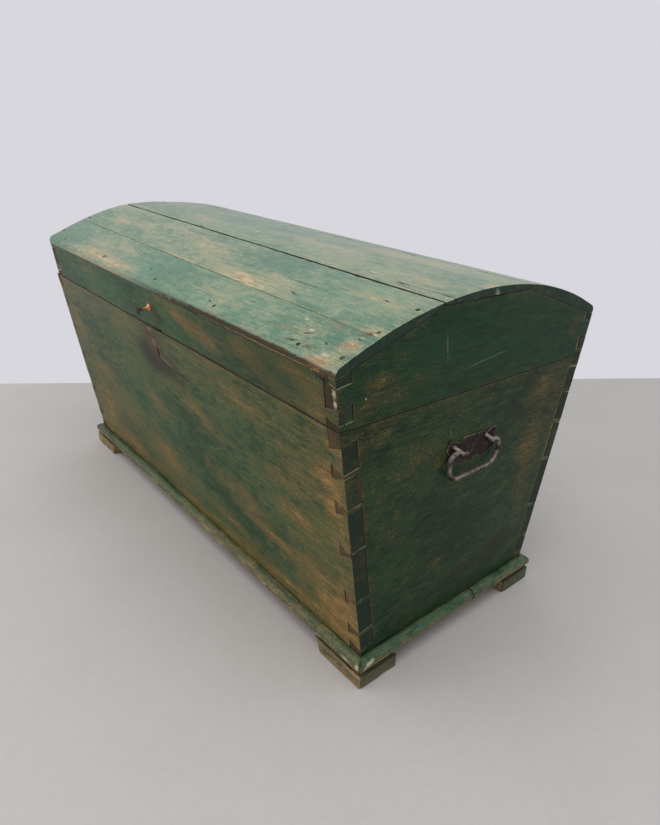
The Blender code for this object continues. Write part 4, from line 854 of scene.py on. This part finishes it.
endBoards = {
    "box_right_end": {
        **rightEnd, "stepped": (frontOut, backOut), "worn": 0.04, "drift": 0.18, "chipAndHighlightRange": boxChipsAndHighlights,
        "wear": (
            (-0.246, 0.505, 0.050, 0.024, 12, 0.34), (0.212, 0.484, 0.040, 0.040, 0, 0.55),
            (0.210, 0.374, 0.038, 0.050, 0, 0.50), (0.190, 0.346, 0.040, 0.030, 0, 0.35),
            (-0.058, 0.184, 0.030, 0.020, 0, 0.32), (-0.140, 0.430, 0.060, 0.030, 20, 0.20),
            (0.280, 0.440, 0.025, 0.080, 8, 0.35), (-0.190, 0.330, 0.040, 0.060, 0, 0.18),
            (-0.020, 0.350, 0.050, 0.020, 10, 0.15), (0.200, 0.250, 0.030, 0.080, 5, 0.30),
            (-0.085, 0.408, 0.010, 0.010, 0, 0.55)),
        "dirtAndShade": (
            (0.142, 0.133, 0.070, 0.036, 14, 0.85), (0.022, 0.120, 0.060, 0.024, 14, 0.75),
            (-0.087, 0.112, 0.050, 0.024, 0, 0.60), (-0.060, 0.395, 0.035, 0.020, -30, 0.30),
            (0.250, 0.330, 0.020, 0.120, 8, 0.35)),
        "teal": ((-0.150, 0.300, 0.060, 0.030, 0, 0.4), (0.060, 0.480, 0.050, 0.020, 0, 0.5)),
    },
    "box_left_end": {
        **leftEnd, "stepped": (frontOut, backOut), "worn": 0.06, "drift": 0.20,
        "wear": scatter(41, 14, (-0.25, 0.27), (0.1, 0.51), ((0.03, 0.07), (0.016, 0.05)), (0.1, 0.32)),
        "dirtAndShade": scatter(42, 5, (-0.2, 0.2), (0.1, 0.5), ((0.04, 0.08), (0.02, 0.05)), (0.2, 0.45)),
        "teal": scatter(43, 4, (-0.2, 0.2), (0.1, 0.5), ((0.04, 0.06), (0.02, 0.03)), (0.4, 0.6)),
    },
}

boards(boxBoards, "chest", "boxBoards", firstSeed=11)
boards(endBoards, "chest", "endBoards", firstSeed=21)
print("box boards done")


# Lid walls and ends

lidFrontOut, lidBackOut = leaningOut(out=0.0125, rise=0.0835)

lidWalls = {
    "lid_front_board": {
        **frontWall, "outward": lidFrontOut, "grid": ((2, 0.010), (0, 0.010)), "worn": 0.06, "drift": 0.18,
        "chipAndHighlightRange": lidChipsAndHighlights,
        "wear": (
            (0.213, 0.569, 0.060, 0.022, -8, 0.70), (0.127, 0.581, 0.050, 0.016, -10, 0.60),
            (0.335, 0.583, 0.050, 0.016, -6, 0.55), (0.475, 0.593, 0.040, 0.014, 0, 0.40),
            (0.530, 0.577, 0.040, 0.022, 0, 0.42), (-0.330, 0.590, 0.060, 0.010, -8, 0.30),
            (-0.430, 0.575, 0.040, 0.012, 0, 0.20), (0.060, 0.600, 0.060, 0.010, -6, 0.35),
            (0.420, 0.550, 0.060, 0.012, -5, 0.40), (0.530, 0.545, 0.050, 0.012, 0, 0.40)),
        # the three broad patches over the middle of the board are painted shadow under the dome's front edge
        "dirtAndShade": ((0.010, 0.545, 0.020, 0.016, 0, 0.4), (0.400, 0.575, 0.330, 0.080, 0, 0.58),
                 (-0.350, 0.575, 0.300, 0.080, 0, 0.22), (0.100, 0.575, 0.120, 0.060, 0, 0.12)),
        "teal": ((-0.300, 0.570, 0.200, 0.030, 0, 0.55), (0.440, 0.570, 0.060, 0.020, 0, 0.5),
                 (0.050, 0.575, 0.040, 0.015, 0, 0.4)),
    },
    "lid_back_board": {
        **backWall, "outward": lidBackOut, "grid": ((2, 0.014), (0, 0.014)), "worn": 0.12, "drift": 0.28,
        "wear": scatter(51, 12, (-0.55, 0.55), (0.54, 0.61), ((0.04, 0.09), (0.010, 0.02)), (0.15, 0.4)),
    },
}

lidEnds = {
    "lid_right_end": {
        **rightEnd, "stepped": (lidFrontOut, lidBackOut), "worn": 0.02, "drift": 0.16,
        "tint": 0.48, "endGrime": 0.55, "chipAndHighlightRange": lidChipsAndHighlights[:1],
        "wear": (
            (-0.246, 0.586, 0.038, 0.022, 25, 0.55), (-0.270, 0.550, 0.030, 0.014, 0, 0.50),
            (-0.190, 0.560, 0.050, 0.018, 10, 0.26), (-0.100, 0.555, 0.060, 0.012, 8, 0.20),
            (0.290, 0.600, 0.020, 0.040, 0, 0.45), (-0.060, 0.660, 0.080, 0.012, 6, 0.14),
            (0.120, 0.620, 0.090, 0.012, 4, 0.12)),
        "dirtAndShade": ((-0.306, 0.575, 0.014, 0.030, 0, 0.35), (0.200, 0.560, 0.060, 0.020, 0, 0.25)),
        "teal": ((-0.120, 0.620, 0.080, 0.020, 8, 0.4), (0.070, 0.590, 0.080, 0.016, 6, 0.4)),
    },
    "lid_left_end": {
        **leftEnd, "stepped": (lidFrontOut, lidBackOut), "worn": 0.05, "drift": 0.2,
        "tint": 0.30, "endGrime": 0.45, "chipAndHighlightRange": lidChipsAndHighlights[:1],
        "wear": scatter(61, 8, (-0.28, 0.3), (0.54, 0.66), ((0.03, 0.07), (0.014, 0.03)), (0.1, 0.3)),
    },
}

boards(lidWalls, "lid", "boxBoards", firstSeed=31)
boards(lidEnds, "lid", "endBoards", firstSeed=41)
print("lid walls done")


# Dome boards

# the joint between the two front boards is bridged by paint, the next one stands open
bridged = ((-0.7, -0.265, 0.60), (0.7, -0.232, 0.70), 0.45)

domeBoards = {
    "dome_board_front_lower": {
        "worn": 0.06, "noseWear": ((0.370, 0.6125, 0.360, 0.0125, 0, 1.25),), "frontPainted": True,
        "frontWorn": 0.12, "closed": (bridged,), "cuts": ((1, -0.3318),),
        "wear": (
            (-0.300, -0.322, 0.230, 0.012, 2, 0.60), (-0.147, -0.325, 0.060, 0.010, 0, 0.50),
            (-0.329, -0.293, 0.060, 0.014, -4, 0.42), (-0.214, -0.274, 0.060, 0.012, -4, 0.42),
            (0.474, -0.293, 0.030, 0.018, 0, 0.35), (0.557, -0.287, 0.020, 0.016, 0, 0.70),
            (0.543, -0.325, 0.030, 0.014, 0, 0.55), (0.200, -0.290, 0.100, 0.012, -3, 0.18)),
        # this band is painted shade where the dome turns down to its front edge
        "dirtAndShade": ((0.300, -0.3336, 0.420, 0.0020, 0, 1.10),),
        "teal": ((-0.060, -0.300, 0.080, 0.020, 0, 0.6), (0.330, -0.290, 0.120, 0.026, 0, 0.45)),
    },
    "dome_board_front_upper": {
        "closed": (bridged,), "pulled": ((1, -0.1235, -0.1195, -0.0008),),
        "wear": (
            (-0.421, -0.197, 0.060, 0.018, -6, 0.45), (-0.296, -0.186, 0.070, 0.018, -6, 0.45),
            (-0.010, -0.252, 0.080, 0.014, -4, 0.42), (0.009, -0.184, 0.080, 0.022, -6, 0.40),
            (0.205, -0.236, 0.110, 0.018, -5, 0.62), (0.265, -0.207, 0.070, 0.012, -5, 0.40),
            (0.561, -0.252, 0.020, 0.012, 0, 0.60), (0.480, -0.170, 0.060, 0.012, -4, 0.35),
            (-0.150, -0.160, 0.120, 0.012, -3, 0.30)),
        "teal": ((-0.120, -0.230, 0.100, 0.020, 0, 0.5), (0.400, -0.200, 0.120, 0.030, 0, 0.5)),
    },
    "dome_board_top": {
        "pulled": ((1, -0.1180, -0.1145, 0.0008),),
        "wear": (
            (0.106, -0.012, 0.130, 0.030, -4, 0.36), (-0.250, -0.060, 0.140, 0.020, -3, 0.25),
            (0.350, 0.060, 0.140, 0.030, -3, 0.30), (0.500, -0.060, 0.060, 0.020, 0, 0.30),
            (-0.400, 0.050, 0.120, 0.030, 0, 0.25), (0.576, 0.004, 0.012, 0.020, 0, 0.9)),
        "teal": ((0.200, -0.090, 0.300, 0.016, 0, 0.35),),
    },
    "dome_board_back": {
        "wear": scatter(71, 14, (-0.52, 0.54), (0.13, 0.35), ((0.06, 0.13), (0.012, 0.03)), (0.12, 0.35)),
        "teal": scatter(72, 6, (-0.5, 0.5), (0.13, 0.34), ((0.05, 0.1), (0.02, 0.04)), (0.3, 0.6)),
    },
}

domeShared = {
    "outward": (0, 0, 1), "inward": (0, 0, -1), "axes": (0, 1), "order": [0, 1, 2],
    "chipAndHighlightRange": ((0.6, 0.72, 0.575),), "grid": ((1, 0.010), (0, 0.012)), "worn": 0.16, "drift": 0.26,
    "nick": 0.0010, "edgeWear": 0.12, "height": 0.0005,
}

boards({node: {**domeShared, **look} for node, look in domeBoards.items()}, "lid", "domeBoards", firstSeed=51)
print("dome boards done")


# Base: bottom boards, mouldings and feet

mitre = {
    "across": (-0.578, 0.578), "deep": (-0.229, 0.251),   # places of the four inner corners
    "past": (1.05, 1.2),          # each box ends this many times as far out, across and deep
    "top": 0.07,
    "lineLeft": 0.1,              # share of dark line left
}


def mitreBox(x, y):
    # paint has closed the mitre that runs out from this inner corner
    across, deep = mitre["past"]
    corners = zip(sorted((x, across * x)), sorted((y, deep * y)), (0.0, mitre["top"]))
    return (*corners, mitre["lineLeft"])


baseLook = {
    "outward": (0, 0, 1), "inward": (0, 0, -1), "axes": (0, 1), "order": [0, 1, 2], "drift": 0.3,
    "round": 0.0018, "nick": 0.0022, "edgeWear": 0.16, "height": 0.0005, "allPainted": True,
    "closed": [mitreBox(x, y) for x in mitre["across"] for y in mitre["deep"]],
}

bottomLook = {**baseLook, "round": 0.0008, "grid": ((1, 0.020), (0, 0.020))}

# the mouldings darken towards the floor: painted shade under their round
alongX = {**baseLook, "grid": ((0, 0.012),), "lowShade": 0.40}
alongY = {**alongX, "grid": ((1, 0.012),), "order": [1, 0, 2]}
sheltered = {"tint": 0.20, "worn": 0.14, "lowWorn": 0.52}
mouldings = {
    "front": {**alongX, "worn": 0.26, "frontWorn": 0.10, "lowWorn": 0.34},
    "back": {**alongX, **sheltered},
    "left": {**alongY, **sheltered},
    "right_near": {**alongY, **sheltered},
    "right_far": {**alongY, **sheltered},
}

# grime darkens every face of a foot but the front one: painted shade on its sides
footLook = {
    **baseLook, "grid": ((0, 0.010), (1, 0.010), (2, 0.010)), "worn": 0.14, "frontWorn": 0.50, "grimeAndShade": 0.40,
    "edgeWear": 0.30,
}

boards({f"bottom_board_{number}": bottomLook for number in (1, 2, 3)}, "chest", "rawPine", firstSeed=61)
boards({f"base_moulding_{side}": look for side, look in mouldings.items()},
       "chest", "baseBoards", firstSeed=70)
boards({f"foot_{depth}_{side}": footLook for depth in ("front", "back") for side in ("left", "right")},
       "chest", "baseBoards", firstSeed=80)
print("base done")


# Ironwork and brass

metalPieces = {
    "forgedIron": (("chest", ("hinge_left_box_strap", "hinge_left_pin", "hinge_right_box_strap",
                              "hinge_right_pin", "lock_case", "lock_spring")),
                   ("lid", ("hinge_left_lid_strap", "hinge_right_lid_strap", "lid_staple")),
                   ("lock_bolt", ("lock_bolt",))),
    "handleIron": (("chest", ("handle_right_nail_1", "handle_right_nail_2", "handle_left_nail_1",
                              "handle_left_nail_2")),),
    "oldBrass": (("lid", ("lid_knob",)),),
}


metalLook = {
    "angle": 50,                  # edges flatter than this stay as they are, in degrees
    "round": 0.0003, "uneven": 0.0001,
    "nailRound": 0.0004, "nailUneven": 0.0002,
    "shineReach": 0.0015,
    "tarnishFrom": -0.346,        # the knob goes dark further out than this, over the next length
    "tarnishOver": 0.003,
}


def metalFrom(node, body, material, rounding, uneven, seed):
    shape = solidOf(node)
    roundEdges(shape, rounding, metalLook["angle"])
    handWork(shape, uneven, uneven, seed)
    return pieceFrom(shape, node + "Skin", material, body, [node])


def metalPiece(node, body, material, seed):
    item = metalFrom(node, body, material, metalLook["round"], metalLook["uneven"], seed)
    near = rimDistance(item.data)
    setPoints(item.data, "rim", np.exp(-near / metalLook["shineReach"]))
    further = metalLook["tarnishFrom"] - places(item.data)[:, 1]
    setPoints(item.data, "handled", np.clip(further / metalLook["tarnishOver"], 0, 1))
    weigh(item)


number = 0
for material, groups in metalPieces.items():
    for body, nodes in groups:
        for node in nodes:
            number += 1
            metalPiece(node, body, material, number)
print("ironwork done")


# Carrying handles: a cut plate, two straps over the bail's ends, and the bail. Shapes are drawn on the
# plate as across (towards the back) and up from the middle of the bail's axis, with out from the board

handleLook = {
    "plateEdge": (
        (-0.071, 0.017), (-0.066, 0.023), (-0.058, 0.021), (-0.046, 0.017), (-0.035, 0.016), (-0.029, 0.021),
        (-0.019, 0.0225), (-0.015, 0.020), (-0.010, 0.0215), (-0.002, 0.020), (0.003, 0.0220), (0.011, 0.019),
        (0.016, 0.019), (0.021, 0.0215), (0.028, 0.018), (0.035, 0.015), (0.041, 0.014), (0.049, 0.019),
        (0.059, 0.021), (0.068, 0.016), (0.070, 0.010), (0.062, 0.004), (0.064, -0.006), (0.070, -0.012),
        (0.064, -0.021), (0.050, -0.024), (0.040, -0.029), (0.027, -0.031), (0.016, -0.027), (0.005, -0.026),
        (-0.004, -0.030), (-0.018, -0.026), (-0.034, -0.028), (-0.048, -0.023), (-0.058, -0.025),
        (-0.070, -0.018), (-0.066, -0.010), (-0.068, -0.002), (-0.072, 0.006)),
    "height": 0.417,               # of the bail's axis above the floor
    "plateReach": 0.075,           # the plate lies within this of its middle
    "plateStep": 0.005,
    "standOff": 0.0005,            # of the plate from the board
    "rimWide": 0.0010,
    "hammered": 0.0007,
    "hammerScale": 110,
    "litAbove": 0.35,
    "curl": 0.0022,                # how far the plate's upper corners stand off the board
    "curlAt": (0.064, 0.020),
    "curlSpread": 0.000045,
    "strapThick": 0.0017,
    "straps": (
        # across, up, out beyond the board, width
        ((-0.0570, 0.0120, 0.0030, 0.0066), (-0.0530, 0.0082, 0.0044, 0.0060),
         (-0.0490, 0.0046, 0.0116, 0.0058), (-0.0450, 0.0000, 0.0152, 0.0058),
         (-0.0405, -0.0050, 0.0116, 0.0056), (-0.0365, -0.0088, 0.0044, 0.0054),
         (-0.0310, -0.0110, 0.0031, 0.0050), (-0.0220, -0.0130, 0.0031, 0.0078),
         (-0.0150, -0.0142, 0.0031, 0.0068), (-0.0090, -0.0152, 0.0031, 0.0020)),
        ((0.0340, 0.0120, 0.0030, 0.0066), (0.0375, 0.0086, 0.0044, 0.0060),
         (0.0412, 0.0048, 0.0116, 0.0058), (0.0450, 0.0004, 0.0152, 0.0058),
         (0.0494, -0.0042, 0.0116, 0.0056), (0.0532, -0.0072, 0.0044, 0.0054),
         (0.0575, -0.0082, 0.0031, 0.0050), (0.0630, -0.0088, 0.0031, 0.0076),
         (0.0670, -0.0090, 0.0031, 0.0050), (0.0700, -0.0092, 0.0031, 0.0020))),
    "bailHalf": 0.0711,            # half the bail's width, to the middle of its rod
    "bailEnd": 0.040,              # where the rod ends under each strap
    "shoulder": 0.017,             # radii of the two bends
    "elbow": 0.032,
    "elbowUp": -0.022,
    "rod": 0.0037,                 # radius
    "swelling": 0.0013,            # at the front shoulder, where the iron is thickest
    "swellingAt": (-0.064, -0.024),
    "swellingReach": 0.040,
    "dented": 0.00044,
    "sides": 14,
}


def smoothPath(points, steps):
    # a curve through the points
    points = [Vector(point) for point in points]
    made = []
    for index in range(len(points) - 1):
        before, first = points[max(0, index - 1)], points[index]
        second, after = points[index + 1], points[min(len(points) - 1, index + 2)]
        for step in range(steps):
            t = step / steps
            made.append(0.5 * (2 * first + (second - before) * t
                               + (2 * before - 5 * first + 4 * second - after) * t ** 2
                               + (3 * first - before - 3 * second + after) * t ** 3))
    made.append(points[-1])
    return made


def outlineShine(shape):
    # 1 on the cut edge of the plate, 0 further in
    edge = {vertex for face in shape.faces if abs(face.normal.z) < 0.5 for vertex in face.verts}
    return [1.0 if vertex in edge else 0.0 for vertex in shape.verts]


def closeRings(shape, rings):
    # walls between the rings, and a face at each end
    many = len(rings[0])
    for first, second in zip(rings, rings[1:]):
        for index in range(many):
            following = (index + 1) % many
            shape.faces.new((first[index], first[following], second[following], second[index]))
    shape.faces.new(rings[0])
    shape.faces.new(rings[-1])
    bmesh.ops.recalc_face_normals(shape, faces=shape.faces)


def handlePiece(side, part, shape, body, seed, rim, edges=None):
    # drawn for the right end in across, up and out; the left one is its mirror
    node = f"handle_{side}_{part}"
    pivotY = sum(corner[1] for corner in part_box(f"handle_{side}_plate")) / 2
    outer = max(abs(corner[0]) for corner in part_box(f"box_{side}_end"))
    sign = 1 if side == "right" else -1
    edges = edges or [0.0] * len(shape.verts)
    for vertex in shape.verts:
        across, up, out = vertex.co
        vertex.co = (sign * (outer + out), pivotY + across, handleLook["height"] + up)
    if sign < 0:
        bmesh.ops.reverse_faces(shape, faces=shape.faces)
    item = pieceFrom(shape, node + "Skin", "handleIron", body, [node])
    # iron shines where hands reach it: on edges, and more above than below, where the upper faces take a
    # painted highlight
    spread = np.array([rim + edge * 0.8 + 0.6 * noise.noise(vertex.co * 90 + Vector((seed, 0, 0)))
                       for vertex, edge in zip(item.data.vertices, edges)])
    spread += handleLook["litAbove"] * normals(item.data)[:, 2] * (rim > 0.5)
    setPoints(item.data, "rim", np.clip(spread, 0, 1))
    weigh(item)


def plateShape(seed):
    # the outline filled, cut into small squares, made thick and dented
    look = handleLook
    shape = bmesh.new()
    corners = (*look["plateEdge"], look["plateEdge"][0])
    outline = smoothPath([(across, up, look["standOff"]) for across, up in corners], 3)[:-1]
    shape.faces.new([shape.verts.new(point) for point in outline])
    for axis in (0, 1):
        cutGrid(shape, axis, gridPlaces(-look["plateReach"], look["plateReach"], look["plateStep"], 0.0))
    made = bmesh.ops.extrude_face_region(shape, geom=shape.faces[:])
    front = [item for item in made["geom"] if isinstance(item, bmesh.types.BMVert)]
    low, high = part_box("handle_right_plate")
    for vertex in front:
        vertex.co.z += high[0] - low[0]
    bmesh.ops.recalc_face_normals(shape, faces=shape.faces)
    # a narrow band along the outline takes the shine
    faces = [item for item in made["geom"] if isinstance(item, bmesh.types.BMFace)]
    bmesh.ops.inset_region(shape, faces=faces, thickness=look["rimWide"], use_even_offset=True)
    front = [vertex for vertex in shape.verts if vertex.co.z > look["standOff"] * 2]
    across, up = look["curlAt"]
    for vertex in shape.verts:
        away = (abs(vertex.co.x) - across) ** 2 + (vertex.co.y - up) ** 2
        vertex.co.z += look["curl"] * math.exp(-away / look["curlSpread"])
    for vertex in front:
        vertex.co.z += waver(vertex.co + Vector((seed, 0, 0)), look["hammerScale"], look["hammered"])
    return shape


def strapShape(points):
    # a flat bar swept along its path, as wide as each point says
    path = smoothPath([(across, up, out) for across, up, out, width in points], 5)
    widths = [vector.x for vector in smoothPath([(width, 0, 0) for across, up, out, width in points], 5)]
    half = handleLook["strapThick"] / 2
    shape = bmesh.new()
    rings = []
    for index, (point, width) in enumerate(zip(path, widths)):
        ahead = path[min(index + 1, len(path) - 1)] - path[max(index - 1, 0)]
        flat = Vector((ahead.x, ahead.y, 0)).normalized()
        beside = Vector((-flat.y, flat.x, 0))
        lift = beside.cross(ahead.normalized())
        lift = lift if lift.z > 0 or abs(lift.z) < 1e-6 else -lift
        corners = ((-0.5, -1), (0.5, -1), (0.5, 0.3), (0.28, 1), (-0.28, 1), (-0.5, 0.3))
        rings.append([shape.verts.new(point + beside * width * x + lift * half * y) for x, y in corners])
    closeRings(shape, rings)
    return shape


def bailPath():
    look = handleLook
    half, end, shoulder, elbow = look["bailHalf"], look["bailEnd"], look["shoulder"], look["elbow"]
    side = [(end + (half - shoulder - end) * step / 4, 0) for step in range(4)]
    for step in range(9):
        angle = math.radians(90 - 90 * step / 8)
        side.append((half - shoulder + shoulder * math.cos(angle), -shoulder + shoulder * math.sin(angle)))
    for step in range(13):
        angle = math.radians(-90 * step / 12)
        side.append((half - elbow + elbow * math.cos(angle), look["elbowUp"] + elbow * math.sin(angle)))
    across = side[-1][0]
    bottom = [(across * (1 - step / 8), side[-1][1]) for step in range(1, 8)]
    return side + bottom + [(-x, y) for x, y in reversed(side + bottom[:3])]


def bailShape(seed):
    look = handleLook
    path = [Vector((x, y, 0.0)) for x, y in bailPath()]
    axis = abs(sum(corner[0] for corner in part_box("handle_right_bail")) / 2)
    out = Vector((0, 0, axis - max(corner[0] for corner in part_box("box_right_end"))))
    shape = bmesh.new()
    rings = []
    for index, point in enumerate(path):
        ahead = (path[min(index + 1, len(path) - 1)] - path[max(index - 1, 0)]).normalized()
        beside = Vector((-ahead.y, ahead.x, 0))
        near = (point - Vector((*look["swellingAt"], 0))).length
        radius = look["rod"] + look["swelling"] * math.exp(-(near / look["swellingReach"]) ** 2)
        ring = []
        for corner in range(look["sides"]):
            angle = 2 * math.pi * corner / look["sides"]
            way = beside * math.cos(angle) + Vector((0, 0, 1)) * math.sin(angle)
            rough = noise.noise((point + way * 0.004) * 130 + Vector((seed, 0, 0)))
            dent = look["dented"] * min(0.0, rough)
            ring.append(shape.verts.new(point + way * (radius + dent) + out))
        rings.append(ring)
    closeRings(shape, rings)
    return shape


for number, side in enumerate(("right", "left")):
    plate = plateShape(3 + number)
    handlePiece(side, "plate", plate, "chest", 5 + number, 0.05, outlineShine(plate))
    for end, points in zip(("front", "back"), handleLook["straps"]):
        handlePiece(side, f"eye_{end}", strapShape(points), "chest", 7 + number, 0.95)
    handlePiece(side, "bail", bailShape(9 + number), f"{side}_bail", 11 + number, 0.62)
print("handles done")


# Nails through the dome

nailCounts = {"front": 5, "right": 4, "left": 3}

for side, many in nailCounts.items():
    for number in range(1, many + 1):
        item = metalFrom(f"lid_nail_{side}_{number}", "lid", "nailIron", metalLook["nailRound"],
                         metalLook["nailUneven"], number)
        setPoints(item.data, "rim", np.zeros(len(item.data.vertices)))
        weigh(item)
print("nails done")


# Floor, wall and lamps

room = {
    "floor": shade(213, 208, 204), "floorStain": shade(178, 175, 172),
    "wall": shade(215, 215, 221), "sky": (0.95, 0.97, 1.0, 1.0),
    "wallFoot": (-1.17, -0.28), "wallTurn": 58.6, "floorRadius": 9.0, "wallSize": (5.0, 3.0),
    "skyStrength": 0.60,
    "aim": (0, 0, 0.3),           # where the lamps point
    "lamps": (
        # name, place, size, power
        ("roofLamp", (0.6, -0.8, 3.3), 3.4, 37),
        ("frontLamp", (-1.6, -3.2, 1.9), 2.0, 22),
    ),
}


def floorCement():
    finish = Finish(bpy.data.materials.new("floorCement"))
    place = finish.objectPlace()
    blotch = finish.noise(place, 2.2, 5, 0.6)
    grit = finish.noise(place, 60, 3, 0.6)
    stained = (blotch - 0.5) * 0.5 + (grit - 0.5) * 0.25 + 0.2
    colour = finish.mix(stained, room["floor"], room["floorStain"])
    return finish.done({"Base Color": colour, "Roughness": 0.85, "Specular IOR Level": 0.2})


def seenDirectly(finish):
    # camera, glossy and see-through rays meet the plain wall colour, whatever light falls on it
    camera, glossy, through = (finish.node("LightPath", {}, {}, f"Is {kind} Ray")
                               for kind in ("Camera", "Glossy", "Transmission"))
    return finish.sum("MAXIMUM", finish.sum("MAXIMUM", camera, glossy), through)


def wallPlaster():
    # only seen, from its front: light and shadow pass through it
    finish = Finish(bpy.data.materials.new("wallPlaster"))
    finish.tree.nodes.remove(finish.shader)
    plain = finish.node("Emission", {}, {"Color": room["wall"], "Strength": 1.0})
    clear = finish.node("BsdfTransparent", {}, {})
    behind = finish.node("NewGeometry", {}, {}, "Backfacing")
    both = finish.node("MixShader", {}, {0: seenDirectly(finish) * (1 - behind), 1: clear, 2: plain})
    finish.put(finish.tree.nodes["Material Output"].inputs["Surface"], both)
    return finish.owner


def stageItem(name, shape, material):
    mesh = bpy.data.meshes.new(name)
    shape.to_mesh(mesh)
    shape.free()
    mesh.materials.append(material)
    item = bpy.data.objects.new(name, mesh)
    scene.collection.objects.link(item)
    return item


def makeRoom():
    shape = bmesh.new()
    bmesh.ops.create_circle(shape, cap_ends=True, radius=room["floorRadius"], segments=96)
    floor = stageItem("floor", shape, floorCement())
    wide, high = room["wallSize"]
    shape = bmesh.new()
    corners = ((-wide, 0, 0), (wide, 0, 0), (wide, 0, high), (-wide, 0, high))
    shape.faces.new([shape.verts.new(corner) for corner in corners])
    wall = stageItem("wall", shape, wallPlaster())
    wall.rotation_euler.z = math.radians(room["wallTurn"])
    wall.location = (*room["wallFoot"], 0)


def makeLamps():
    scene.world = bpy.data.worlds.new("softRoom")
    sky = Finish(scene.world)
    sky.tree.nodes.remove(sky.tree.nodes["Background"])
    light = sky.node("Background", {}, {"Color": room["sky"], "Strength": room["skyStrength"]})
    plain = sky.node("Background", {}, {"Color": room["wall"]})
    seen = sky.node("LightPath", {}, {}, "Is Camera Ray")
    both = sky.node("MixShader", {}, {0: seen, 1: light, 2: plain})
    sky.put(sky.tree.nodes["World Output"].inputs["Surface"], both)
    for name, place, size, power in room["lamps"]:
        data = bpy.data.lights.new(name, "AREA")
        data.shape = "DISK"
        data.size = size
        data.energy = power
        lamp = bpy.data.objects.new(name, data)
        lamp.location = place
        aim = Vector(room["aim"]) - Vector(place)
        lamp.rotation_euler = aim.to_track_quat("-Z", "Y").to_euler()
        scene.collection.objects.link(lamp)


makeRoom()
makeLamps()
print("room done")
